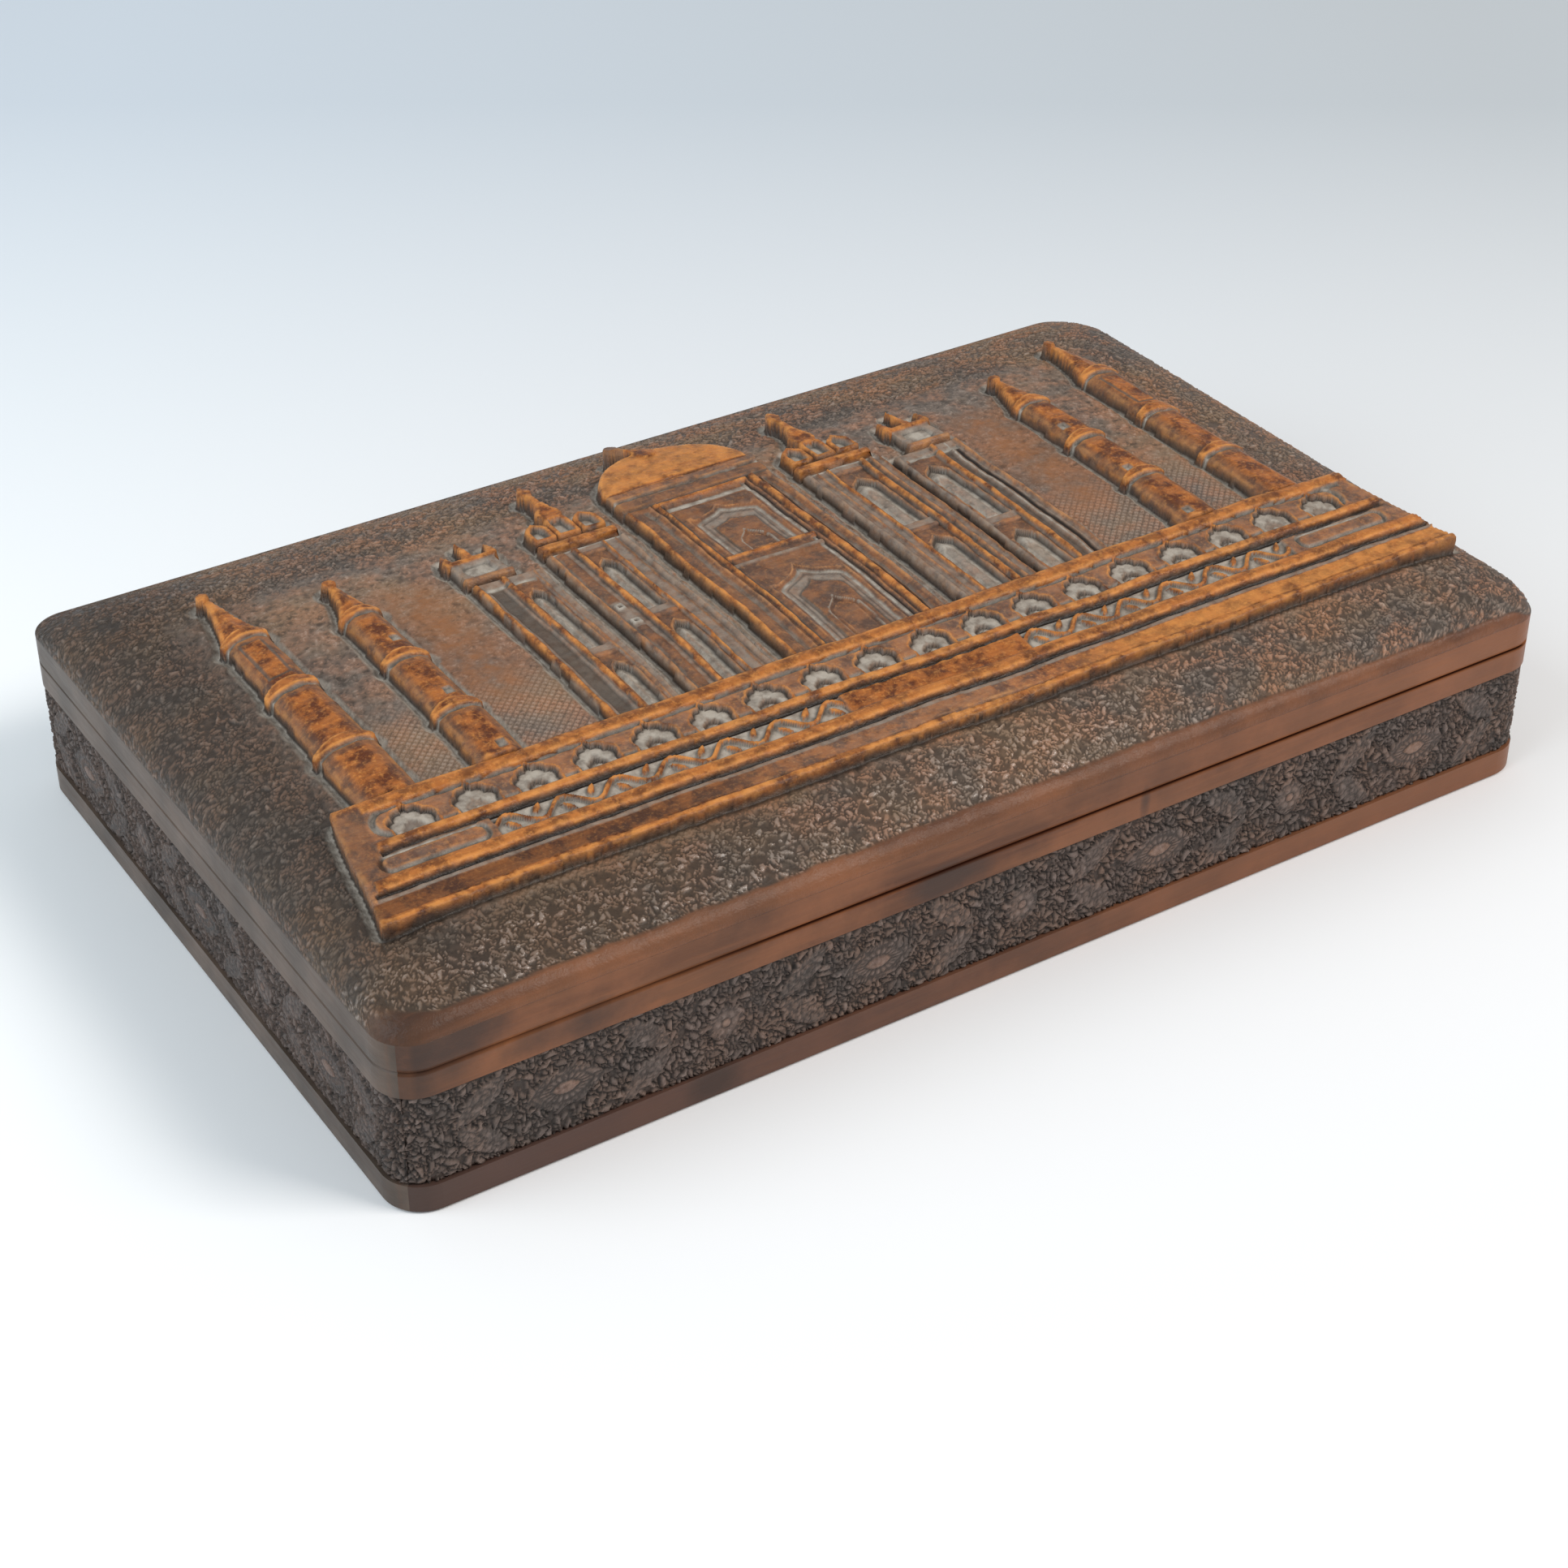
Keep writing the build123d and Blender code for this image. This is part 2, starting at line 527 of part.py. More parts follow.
def tower(middle, radius, collars, tip):
    """A half-round tower lying on the crown along Y, with its collars, and the outline of its spire."""
    top = collars[0]
    length = top - TERRACE_TOP
    crest = crown_height(middle, (top + TERRACE_TOP) / 2) + TOWER_RELIEF
    solids = [Pos(middle, (top + TERRACE_TOP) / 2, crest - radius) * Rot(90, 0, 0) * Cylinder(radius, length)]
    for place in collars:
        ring = Rot(90, 0, 0) * Cylinder(radius + COLLAR_LIP, COLLAR_WIDTH)
        solids.append(Pos(middle, place, crest - radius) * ring)
    spire = make_face(Polyline((middle - radius, top), (middle + radius, top), (middle, tip), close=True))
    return solids, spire


def carve(outline, relief):
    """Raise an outline in plan to follow the crown at a given relief."""
    prism = Pos(0, 0, BOARD_UNDERSIDE) * extrude(outline, amount=CARVING_CEILING - BOARD_UNDERSIDE)
    return prism & crown(relief)


def lid_board():
    """The carved lid board: the crown with the terrace, towers, blocks and dome standing on it."""
    layers = terrace_layers() + middle_block_layers()
    sided = (pavilion_layers(INNER_PAVILION) + cupola_layers(INNER_PAVILION)
             + pavilion_layers(OUTER_PAVILION) + crest_layers(OUTER_PAVILION))
    towers = []
    for middle, radius, collars, tip in (
        (OUTER_TOWER_X, OUTER_TOWER_RADIUS, OUTER_COLLARS, OUTER_SPIRE_TIP),
        (INNER_TOWER_X, INNER_TOWER_RADIUS, INNER_COLLARS, INNER_SPIRE_TIP),
    ):
        solids, spire = tower(middle, radius, collars, tip)
        towers += solids
        sided.append((spire, SPIRE_RELIEF))
    for outline, relief in sided:
        layers += [(outline, relief), (mirror(outline, about=Plane.YZ), relief)]
    by_relief = {}
    for outline, relief in layers:
        by_relief[relief] = by_relief[relief] + outline if relief in by_relief else outline
    board = crown()
    for relief, outline in by_relief.items():
        board += carve(outline, relief)
    for solid in towers:
        board += solid
        board += mirror(solid, about=Plane.YZ)
    return board


def save(shape, node):
    """Write one node's solids to its STEP file."""
    export_step(shape, f"parts/{node}.step")


def main():
    os.makedirs("parts", exist_ok=True)
    for side, wall in base_walls().items():
        save(wall, f"base_{side}_wall")
    save(bottom_board(), "bottom_board")
    save(Compound(all_brads()), "bottom_brads")
    save(floor_felt(), "floor_felt")
    for side, rail in lid_rails().items():
        save(rail, f"lid_{side}_rail")
    save(lid_board(), "lid_board")
    for side, hinge_x in (("left", -HINGE_OFFSET_X), ("right", HINGE_OFFSET_X)):
        for owner in ("base", "lid"):
            save(hinge_leaf(hinge_x, owner), f"{side}_hinge_{owner}_leaf")
        save(hinge_pin(hinge_x), f"{side}_hinge_pin")
    save(Compound(all_screws(-1)), "hinge_screws_base")
    save(Compound(all_screws(1)), "hinge_screws_lid")


main()
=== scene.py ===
import math

import bpy
import numpy as np
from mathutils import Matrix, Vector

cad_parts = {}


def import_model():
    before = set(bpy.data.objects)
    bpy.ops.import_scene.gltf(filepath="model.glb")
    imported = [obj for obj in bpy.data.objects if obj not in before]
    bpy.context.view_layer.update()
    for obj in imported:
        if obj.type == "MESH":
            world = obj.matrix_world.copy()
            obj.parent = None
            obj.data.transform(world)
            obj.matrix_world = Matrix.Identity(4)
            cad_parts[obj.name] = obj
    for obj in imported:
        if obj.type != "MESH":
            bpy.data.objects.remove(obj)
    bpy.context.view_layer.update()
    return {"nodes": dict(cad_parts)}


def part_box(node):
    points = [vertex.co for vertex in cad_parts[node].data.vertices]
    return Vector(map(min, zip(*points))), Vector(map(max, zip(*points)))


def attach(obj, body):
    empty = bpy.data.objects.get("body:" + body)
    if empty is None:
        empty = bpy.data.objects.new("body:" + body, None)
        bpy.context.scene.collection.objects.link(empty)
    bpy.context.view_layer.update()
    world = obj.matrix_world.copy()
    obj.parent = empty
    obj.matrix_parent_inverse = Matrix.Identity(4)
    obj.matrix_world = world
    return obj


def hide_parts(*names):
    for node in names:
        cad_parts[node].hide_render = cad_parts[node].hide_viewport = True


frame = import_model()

# Lengths are millimetres until a mesh is made, X along the box, -Y to the front, Z up.
MM = 0.001

# The box, read from the frame
BOARD_LOW, BOARD_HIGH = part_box("lid_board")
WALL_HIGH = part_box("base_front_wall")[1]
FELT_LOW, FELT_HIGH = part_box("floor_felt")
HALF_LENGTH = BOARD_HIGH.x / MM
HALF_DEPTH = BOARD_HIGH.y / MM
BOARD_UNDERSIDE = BOARD_LOW.z / MM
SEAM = WALL_HIGH.z / MM
CORNER_RADIUS = 9.0
STRIP_BOTTOM = 7.0
STRIP_TOP = 29.5
STRIP_DEPTH = 1.5

# The crown of the lid
CROWN_RISE = 13.4
FRONT_SLOPE_REACH = 75.0
END_SLOPE_REACH = 45.0
BACK_SLOPE_REACH = 60.0
SHOULDER_SHARPNESS = 2.9
BACK_ROUNDNESS = 2.5
CROWN_CORNER_GROWTH = 12.0
CROWN_BLEND = 0.10
CROWN_SHARE_LIMIT = 1.3
CROWN_SEARCH_STEPS = 20

# How fine the carved meshes are
GRID_STEP = 0.36
EDGE_REACH = 3.0
EDGE_ROWS = 14

# Where each random draw starts
SEEDS = {"hand_x": 3, "hand_y": 5, "wood": 6, "felt": 8, "plain_band": 9, "scrolls": 11, "strokes": 12,
         "leaves": 13, "grain": 14, "frieze": 21, "gouges": 41, "strips": 70}

# The camera, fitted to the photograph
CAMERA_AZIMUTH = -32.774
CAMERA_ELEVATION = 34.404
CAMERA_ROLL = -0.062
CAMERA_DISTANCE = 689.6
CAMERA_TARGET = (-20.72, -29.82, 20.79)
FOCAL_PIXELS = 3757.9
FRAME_PIXELS = 1932
SENSOR_WIDTH = 36.0


# Numbers over a grid

def smooth_step(low, high, value):
    """0 below low, 1 above high, and smooth between them."""
    share = np.clip((value - low) / (high - low), 0.0, 1.0)
    return share * share * (3 - 2 * share)


def low_pass(field, reach):
    """A field blurred over a reach in cells, as if it repeated at its edges."""
    rows = np.fft.fftfreq(field.shape[0])[:, None]
    columns = np.fft.rfftfreq(field.shape[1])[None, :]
    kept = np.exp(-2 * (math.pi * reach) ** 2 * (rows ** 2 + columns ** 2))
    return np.fft.irfft2(np.fft.rfft2(field) * kept, field.shape)


def blurred(field, reach):
    """A field blurred over a reach in cells, with its edges carried outwards."""
    pad = int(3 * reach) + 1
    wide = np.pad(field, pad, mode="edge")
    return low_pass(wide, reach)[pad:-pad, pad:-pad]


def soft_noise(shape, reach, seed):
    """Seeded noise with lumps of about a reach in cells, of mean 0 and spread 1."""
    noise = low_pass(np.random.default_rng(seed).standard_normal(shape), reach)
    return (noise - noise.mean()) / noise.std()


def bell(value, width):
    """A soft bump of height 1 at 0."""
    return np.exp(-(value / width) ** 2)


def rounding(value, middle, half):
    """How far a round bar falls off from its middle: 0 there and 1 at half its width and beyond."""
    return np.minimum(np.abs(value - middle) / half, 1) ** 2


def graded_lines(half, step):
    """Grid lines from -half to half, denser near both ends, where the shoulder is steep."""
    near = EDGE_REACH * (np.arange(EDGE_ROWS) / EDGE_ROWS) ** SHOULDER_SHARPNESS
    count = int(round(2 * (half - EDGE_REACH) / step))
    middle = np.linspace(-half + EDGE_REACH, half - EDGE_REACH, count + 1)
    return np.concatenate([-half + near, middle, (half - near)[::-1]])


# The crown of the lid

def crown_share(x, y):
    """How far up the crown each point is, from 0 at its rim to about 1 on its top."""
    low = np.zeros_like(x)
    high = np.full_like(x, CROWN_SHARE_LIMIT)
    for _ in range(CROWN_SEARCH_STEPS):
        share = (low + high) / 2
        front = FRONT_SLOPE_REACH * share ** SHOULDER_SHARPNESS
        end = END_SLOPE_REACH * share ** SHOULDER_SHARPNESS
        back = BACK_SLOPE_REACH * (1 - np.maximum(1 - share, 0) ** (1 / BACK_ROUNDNESS))
        radius = CORNER_RADIUS + CROWN_CORNER_GROWTH * share
        past_x = np.abs(x) - (HALF_LENGTH - end) + radius
        past_y = np.abs(y - (front - back) / 2) - (HALF_DEPTH - (front + back) / 2) + radius
        outside = np.hypot(np.maximum(past_x, 0), np.maximum(past_y, 0))
        outside += np.minimum(np.maximum(past_x, past_y), 0) - radius
        within = outside <= 0
        low = np.where(within, share, low)
        high = np.where(within, high, share)
    blend = np.clip((CROWN_BLEND - np.abs(low - 1)) / CROWN_BLEND, 0, 1)
    return np.minimum(low, 1) - blend ** 2 * CROWN_BLEND / 4


# Outlines in plan. Each gives its bounds and a function of x and y that is negative inside.

def rect(x_low, x_high, y_low, y_high, radius=0.0):
    """A rectangle, with rounded corners if a radius is given."""
    half_x, half_y = (x_high - x_low) / 2 - radius, (y_high - y_low) / 2 - radius
    middle_x, middle_y = (x_low + x_high) / 2, (y_low + y_high) / 2

    def distance(x, y):
        past_x, past_y = np.abs(x - middle_x) - half_x, np.abs(y - middle_y) - half_y
        outside = np.hypot(np.maximum(past_x, 0), np.maximum(past_y, 0))
        return outside + np.minimum(np.maximum(past_x, past_y), 0) - radius
    return (x_low, x_high, y_low, y_high), distance


def pane(middle_x, middle_y, half_x, half_y):
    """A rectangle about its middle."""
    return rect(middle_x - half_x, middle_x + half_x, middle_y - half_y, middle_y + half_y)


def disc(middle_x, middle_y, radius):
    """A round spot."""
    bounds = (middle_x - radius, middle_x + radius, middle_y - radius, middle_y + radius)
    return bounds, lambda x, y: np.hypot(x - middle_x, y - middle_y) - radius


def ogee(middle, foot, half, spring, top):
    """An arch: straight legs, a round shoulder and a small drawn-up point."""
    point = min(0.5 * half, 0.5 * (top - spring))
    rise = top - spring - point

    def distance(x, y):
        across = np.abs(x - middle)
        share = np.minimum(across / half, 0.999)
        arc = np.sqrt(1 - share ** 2)
        drawn = point * np.exp(-across / (0.25 * half))
        slope = np.minimum(rise * share / (half * arc) + drawn / (0.25 * half), 2.5)
        roof = (y - spring - rise * arc - drawn) / np.hypot(1, slope)
        return np.maximum(np.maximum(roof, across - half), foot - y)
    return (middle - half, middle + half, foot, top), distance


def lobed_arch(middle, foot, half, height):
    """A broad arch whose head is made of lobes: one at each side and a pointed one on top."""
    shoulder = foot + 0.42 * height

    def distance(x, y):
        across = np.abs(x - middle)
        sides = np.hypot(across - 0.60 * half, y - shoulder) - 0.40 * half
        heads = np.hypot(across - 0.30 * half, y - shoulder - 0.24 * height) - 0.34 * half
        tip = np.maximum(across * 1.1 + (y - foot - height) * 0.8, shoulder - y)
        legs = np.maximum(across - 0.92 * half, y - shoulder)
        nearest = np.minimum(np.minimum(sides, heads), np.minimum(tip, legs))
        return np.maximum(nearest, foot - y)
    return (middle - half, middle + half, foot, foot + height), distance


def bar(middle, half, low, high, upright):
    """A long rectangle about a middle line, along Y if upright and else along X."""
    if upright:
        return rect(middle - half, middle + half, low, high)
    return rect(low, high, middle - half, middle + half)


def edge_of(shape, width, gap=0.0):
    """A line of one width along the edge of an outline, a gap outside it."""
    bounds, distance = shape
    reach = width + gap
    grown = (bounds[0] - reach, bounds[1] + reach, bounds[2] - reach, bounds[3] + reach)
    return grown, lambda x, y: np.abs(distance(x, y) - gap) - width / 2


# The tones of a carved place: how golden, how grey with dust and painted sheen, and how dark with painted
# shade it is
BROWN = (0.50, 0.08, 0.04)
GOLDEN = (1.0, 0.0, 0.0)
DULL_GOLD = (0.7, 0.15, 0.0)
# Grey of dust, with a painted sheen
DUSTY_SHEEN = (0.0, 1.0, 0.0)
# Gold with a painted highlight
HIGHLIGHT_GOLD = (1.45, 0.0, 0.0)
# Rail gold with a slight painted highlight
RAIL_HIGHLIGHT_GOLD = (1.12, 0.0, 0.0)
# Brown darkened with painted shade
SHADED_BROWN = (0.65, 0.0, 0.32)
WORN_BROWN = (0.38, 0.44, 0.05)
GREY_BROWN = (0.30, 0.45, 0.0)
# Painted shade in narrow deep grooves
DEEP_SHADE = (0.0, 0.0, 1.0)
SHADE = (0.1, 0.3, 0.45)

ROD_FALL = 0.45
SOFT_MARGIN = 2


class Relief:
    """A height over the lid and the tones of its wood, that outlines are carved into."""

    def __init__(self, x_lines, y_lines, x, y):
        self.x_lines, self.y_lines, self.x, self.y = x_lines, y_lines, x, y
        self.height = np.zeros_like(x)
        self.tones = [np.zeros_like(x) for _ in GOLDEN]

    def place(self, shape, height, soft):
        """The cells that an outline can reach, how much of each it takes, and its height there."""
        bounds, distance = shape
        left, right = np.searchsorted(self.x_lines, (bounds[0] - SOFT_MARGIN, bounds[1] + SOFT_MARGIN))
        near, far = np.searchsorted(self.y_lines, (bounds[2] - SOFT_MARGIN, bounds[3] + SOFT_MARGIN))
        where = slice(near, far), slice(left, right)
        x, y = self.x[where], self.y[where]
        share = 1 - smooth_step(-soft / 2, soft / 2, distance(x, y))
        return where, share, height(x, y) if callable(height) else height

    def paint(self, where, share, tone):
        """Blend a tone over cells."""
        for layer, value in zip(self.tones, tone):
            layer[where] += (value - layer[where]) * share

    def lift(self, shape, height, tone=GOLDEN, soft=0.6):
        """Raise an outline to a height above the crown."""
        where, share, level = self.place(shape, height, soft)
        raised = share * level
        above = smooth_step(0, 0.25, raised - self.height[where])
        self.paint(where, above * smooth_step(0.3, 0.7, share), tone)
        self.height[where] = np.maximum(self.height[where], raised)

    def cut(self, shape, level, tone=DUSTY_SHEEN, soft=0.5):
        """Cut an outline down to a height above the crown."""
        where, share, level = self.place(shape, level, soft)
        self.height[where] += share * (np.minimum(level, self.height[where]) - self.height[where])
        self.paint(where, share, tone)

    def tint(self, shape, tone, amount=1.0, soft=0.5):
        """Blend a tone over an outline. The amount is a number or a function of x and y."""
        where, share, amount = self.place(shape, amount, soft)
        self.paint(where, amount * share, tone)

    def rod(self, middle, half, low, high, height, tone=GOLDEN, upright=True):
        """A round bar lying on the lid, along Y if upright and else along X."""
        def rounded(x, y):
            return height - ROD_FALL * rounding(x if upright else y, middle, half)
        self.lift(bar(middle, half, low, high, upright), rounded, tone, 0.5)

    def line(self, middle, half, low, high, level, tone=DUSTY_SHEEN, upright=True):
        """A groove, along Y if upright and else along X."""
        self.cut(bar(middle, half, low, high, upright), level, tone, 0.4)

    def taper(self, start, travel, steps, radius, height, tone=GOLDEN, soft=0.6):
        """Overlapping spots on a line. Radius, height and tone are functions of the share of the way."""
        for step in range(steps):
            along = step / (steps - 1)
            spot = disc(start[0] + travel[0] * along, start[1] + travel[1] * along, radius(along))
            self.lift(spot, height(along), tone(along) if callable(tone) else tone, soft)


# The terrace, its places in Y from the middle of the box
TERRACE_TOP = -33.7
UPPER_RAIL_FOOT = -37.9
NICHE_BAND_TOP = -38.7
NICHE_FOOT = -46.8
MIDDLE_RAIL_FOOT = -49.4
FRIEZE_FOOT = -56.8
LOWER_RAIL_FOOT = -60.6
GREY_BAND_FOOT = -62.6
LIP_TOP = -67.3
TERRACE_FOOT = -69.4
LEFT_END_TOP = 131.5
LEFT_END_FOOT = 138.5
RIGHT_END_TOP = 134.0
RIGHT_END_FOOT = 142.0
END_POST = 6.5
FACE_HEIGHT = 2.0
RAIL_HEIGHT = 2.8
LIP_HEIGHT = 2.3
NICHE_COUNT = 18
NICHE_FIRST = -118.2
NICHE_LAST = 121.9
NICHE_HALF = 5.0
NICHE_HEIGHT = 8.4
NICHE_BAND_ENDS = (-126.0, 129.0)
NICHE_BAND_RADIUS = 4.4
SHADED_FACE = (-20, -80)
LIT_FACE = (0, 60)
VINES = ((-105.0, -20.0), (28.0, 104.0))
END_PANELS = ((-130.5, -106.5), (107.0, 133.0))
VINE_PITCH = 6.3
VINE_WAVE = 2.2
GOUGE_COUNT = 150
GOUGE_REACH = 135


def past_end(x, y, short=0.0):
    """How far each point is past the nearer slanted end of the terrace, or past a line short of it."""
    share = (TERRACE_TOP - y) / (TERRACE_TOP - TERRACE_FOOT)
    left = LEFT_END_TOP + share * (LEFT_END_FOOT - LEFT_END_TOP) - short
    right = RIGHT_END_TOP + share * (RIGHT_END_FOOT - RIGHT_END_TOP) - 0.35 * short
    return np.maximum(-x - left, x - right)


def terrace_strip(high, low, short=0.0):
    """A strip across the terrace between two Y, stopping short of its slanted ends."""
    reach = RIGHT_END_FOOT + 2

    def distance(x, y):
        return np.maximum(np.maximum(y - high, low - y), past_end(x, y, short))
    return (-reach, reach, low, high), distance


def carve_terrace(relief):
    """The terrace: rails, the row of niches, the frieze, the cove and the lip at its foot."""
    rough = 0.16 * soft_noise(relief.x.shape, 0.9 / GRID_STEP, SEEDS["frieze"])
    gouges = gouge_marks(relief.x_lines)

    def marks(x):
        return np.interp(x, relief.x_lines, gouges)

    def rail(high, low, short):
        middle, half = (high + low) / 2, (high - low) / 2

        def rounded(x, y):
            return RAIL_HEIGHT - 0.5 * rounding(y, middle, half)
        relief.lift(terrace_strip(high, low, short), rounded, RAIL_HIGHLIGHT_GOLD)

    relief.lift(terrace_strip(TERRACE_TOP, GREY_BAND_FOOT), FACE_HEIGHT, DULL_GOLD, 0.8)
    relief.cut(terrace_strip(UPPER_RAIL_FOOT + 0.3, NICHE_BAND_TOP, END_POST + 3), 1.5)
    band = rect(*NICHE_BAND_ENDS, NICHE_FOOT, UPPER_RAIL_FOOT + 0.2, NICHE_BAND_RADIUS)
    relief.cut(edge_of(band, 1.3, -0.4), 1.2)
    for middle in np.linspace(NICHE_FIRST, NICHE_LAST, NICHE_COUNT):
        carve_niche(relief, middle)
    rail(TERRACE_TOP, UPPER_RAIL_FOOT, 0)
    rail(NICHE_FOOT, MIDDLE_RAIL_FOOT, END_POST - 1)
    carve_frieze(relief, rough)
    relief.cut(terrace_strip(MIDDLE_RAIL_FOOT, MIDDLE_RAIL_FOOT - 0.9, END_POST), 0.8, DEEP_SHADE)
    rail(FRIEZE_FOOT, LOWER_RAIL_FOOT, 2.0)
    relief.cut(terrace_strip(LOWER_RAIL_FOOT, LOWER_RAIL_FOOT - 0.8, 1.5), 0.9, DEEP_SHADE)
    relief.cut(terrace_strip(LOWER_RAIL_FOOT - 0.7, GREY_BAND_FOOT, 1.5), 1.4, GREY_BROWN, 0.4)

    def cove(x, y):
        share = np.clip((GREY_BAND_FOOT - y) / (GREY_BAND_FOOT - LIP_TOP), 0, 1)
        return 1.4 + 0.6 * share ** 2 - 0.30 * marks(x + 1.5 * share) * share

    def lip(x, y):
        middle, half = (LIP_TOP + TERRACE_FOOT) / 2, (LIP_TOP - TERRACE_FOOT) / 2
        return LIP_HEIGHT - 0.4 * rounding(y, middle, half) - 0.22 * marks(x)

    relief.lift(terrace_strip(GREY_BAND_FOOT + 0.3, LIP_TOP), cove, DULL_GOLD)
    face = terrace_strip(GREY_BAND_FOOT, LIP_TOP)
    # Painted shade on the left part of the cove's face and painted light on its right part
    relief.tint(face, SHADED_BROWN, lambda x, y: smooth_step(*SHADED_FACE, x))
    relief.tint(face, HIGHLIGHT_GOLD, lambda x, y: smooth_step(*LIT_FACE, x))
    bounds, off_lip = terrace_strip(LIP_TOP + 0.3, TERRACE_FOOT)
    bounds = (bounds[0], bounds[1], bounds[2] - 2, bounds[3])
    relief.lift((bounds, lambda x, y: off_lip(x, y + bow(x) + 0.25 * marks(x))), lip, RAIL_HIGHLIGHT_GOLD)
    # Painted shadow on the ground just below the lip
    bounds, off_foot = terrace_strip(TERRACE_FOOT + 0.5, TERRACE_FOOT - 1.5)
    relief.tint((bounds, lambda x, y: off_foot(x, y + bow(x))), SHADED_BROWN, 0.8, 0.8)
    carve_left_post(relief)


def carve_left_post(relief):
    """The plain post at the left end of the terrace."""
    ends = past_end(relief.x, relief.y)
    on_post = smooth_step(-END_POST, -END_POST + 0.8, ends)
    on_post *= smooth_step(TERRACE_TOP, TERRACE_TOP - 3.5, relief.y)
    on_post *= smooth_step(FRIEZE_FOOT - 1, FRIEZE_FOOT + 1, relief.y) * (ends < 1) * (relief.x < 0)
    relief.height += on_post * (np.minimum(relief.height, LIP_HEIGHT) - relief.height)
    relief.paint(np.s_[:, :], on_post, BROWN)


def bow(x):
    """How far the lip at the foot bows towards the front at each X."""
    return 0.9 * bell(x - 8, 16) + 0.4 * bell(x + 48, 14)


def gouge_marks(lines):
    """Short gouge marks along the foot: how deep the wood is cut at each X, 0 to 1."""
    rng = np.random.default_rng(SEEDS["gouges"])
    depth = np.zeros_like(lines)
    for at in rng.uniform(-GOUGE_REACH, GOUGE_REACH, GOUGE_COUNT):
        depth = np.maximum(depth, rng.uniform(0.1, 1.0) ** 2 * bell(lines - at, rng.uniform(0.3, 0.9)))
    return depth


def carve_niche(relief, middle):
    """One lobed niche of the terrace, with a small arch standing on its floor."""
    arch = lobed_arch(middle, NICHE_FOOT, NICHE_HALF, NICHE_HEIGHT)
    relief.lift(edge_of(arch, 0.9, 0.5), FACE_HEIGHT + 0.15, GOLDEN)
    relief.cut(arch, 0.9, DUSTY_SHEEN, 0.4)
    relief.cut(edge_of(arch, 0.4, -0.2), 0.8, SHADE, 0.4)
    inner = ogee(middle - 0.1, NICHE_FOOT, 2.5, NICHE_FOOT + 2.4, NICHE_FOOT + 5.0)
    relief.cut(inner, 0.6, GREY_BROWN, 0.7)
    knob = ogee(middle - 0.1, NICHE_FOOT, 1.2, NICHE_FOOT + 1.0, NICHE_FOOT + 2.6)
    relief.lift(knob, 1.0, DUSTY_SHEEN, 0.7)


def carve_frieze(relief, rough):
    """The frieze: long end panels, a rough middle, and a running leaf vine on a sunk ground."""
    middle = (MIDDLE_RAIL_FOOT - 0.8 + FRIEZE_FOOT) / 2
    for low, high in VINES:
        relief.cut(rect(low, high, FRIEZE_FOOT, MIDDLE_RAIL_FOOT), 1.15)
        carve_vine(relief, low, high, middle)
    rough_low, rough_high = VINES[0][1], VINES[1][0]
    inside = smooth_step(rough_low - 1, rough_low + 1, relief.x)
    inside *= smooth_step(rough_high + 1, rough_high - 1, relief.x)
    inside *= smooth_step(FRIEZE_FOOT, FRIEZE_FOOT + 0.5, relief.y)
    inside *= smooth_step(MIDDLE_RAIL_FOOT, MIDDLE_RAIL_FOOT - 0.5, relief.y)
    relief.paint(np.s_[:, :], inside, GOLDEN)
    relief.height += inside * (rough - 0.1)
    for low, high in END_PANELS:
        panel = rect(low, high, FRIEZE_FOOT + 0.5, MIDDLE_RAIL_FOOT - 1.2, 2.4)
        relief.cut(edge_of(panel, 1.0, -0.45), 1.2, DUSTY_SHEEN)


def carve_vine(relief, low, high, middle):
    """A vine that waves along the frieze, with a leaf in each hollow."""
    count = round((high - low) / VINE_PITCH)
    pitch = (high - low) / count

    def stem(x, y):
        wave = VINE_WAVE * np.sin((x - low) * math.pi / pitch)
        slope = VINE_WAVE * math.pi / pitch * np.cos((x - low) * math.pi / pitch)
        line = np.abs(y - middle - wave) / np.hypot(1, slope) - 0.6
        return np.maximum(line, np.maximum(low - x, x - high))
    relief.lift(((low, high, FRIEZE_FOOT, MIDDLE_RAIL_FOOT), stem), 2.15)
    for index in range(count):
        side = -1 if index % 2 == 0 else 1
        at_x = low + (index + 0.5) * pitch + 0.3
        relief.lift(leaf_outline(at_x, middle + side * 1.3, math.radians(50 * side), 2.2, 0.8), 2.1)


def leaf_outline(middle_x, middle_y, angle, half_length, half_width):
    """A leaf, pointed at both ends."""
    cosine, sine = math.cos(angle), math.sin(angle)

    def distance(x, y):
        along = (x - middle_x) * cosine + (y - middle_y) * sine
        across = (y - middle_y) * cosine - (x - middle_x) * sine
        width = half_width * np.clip(1 - (along / half_length) ** 2, 0, 1)
        return np.maximum(np.abs(across) - width, np.abs(along) - half_length)
    reach = half_length
    return (middle_x - reach, middle_x + reach, middle_y - reach, middle_y + reach), distance


# The middle block and its dome
BLOCK_HALF = 20.5
BLOCK_TOP = 48.0
CORNICE_FOOT = 45.0
BLOCK_FRIEZE = (40.2, 44.2)
CORNICE_GROOVES = ((44.6, 0.4, DUSTY_SHEEN), (40.0, 0.25, SHADE))
INNER_CORNICE = 38.7
INNER_CORNICE_SIDES = (-13.2, 13.4)
TABLET_GROOVE = 36.2
RODS_TOP = 39.6
GROOVES_TOP = 38.0
TABLET = (-9.8, 10.2, 31.5, 35.0)
BELT_SIDES = (-11.6, 12.6)
BELTS = ((7.6, 2.4, GOLDEN), (4.0, 2.0, GREY_BROWN))
PANEL_LEFT = -10.6
PANEL_RIGHT = 11.1
PANEL_MIDDLE = 0.4
DOME_HALF = 20.2
DOME_MIDDLE = -0.3
DOME_RISE = 17.0
FINIAL_FOOT = (-0.4, 63.0)
FINIAL_TRAVEL = (-5.2, 7.4)
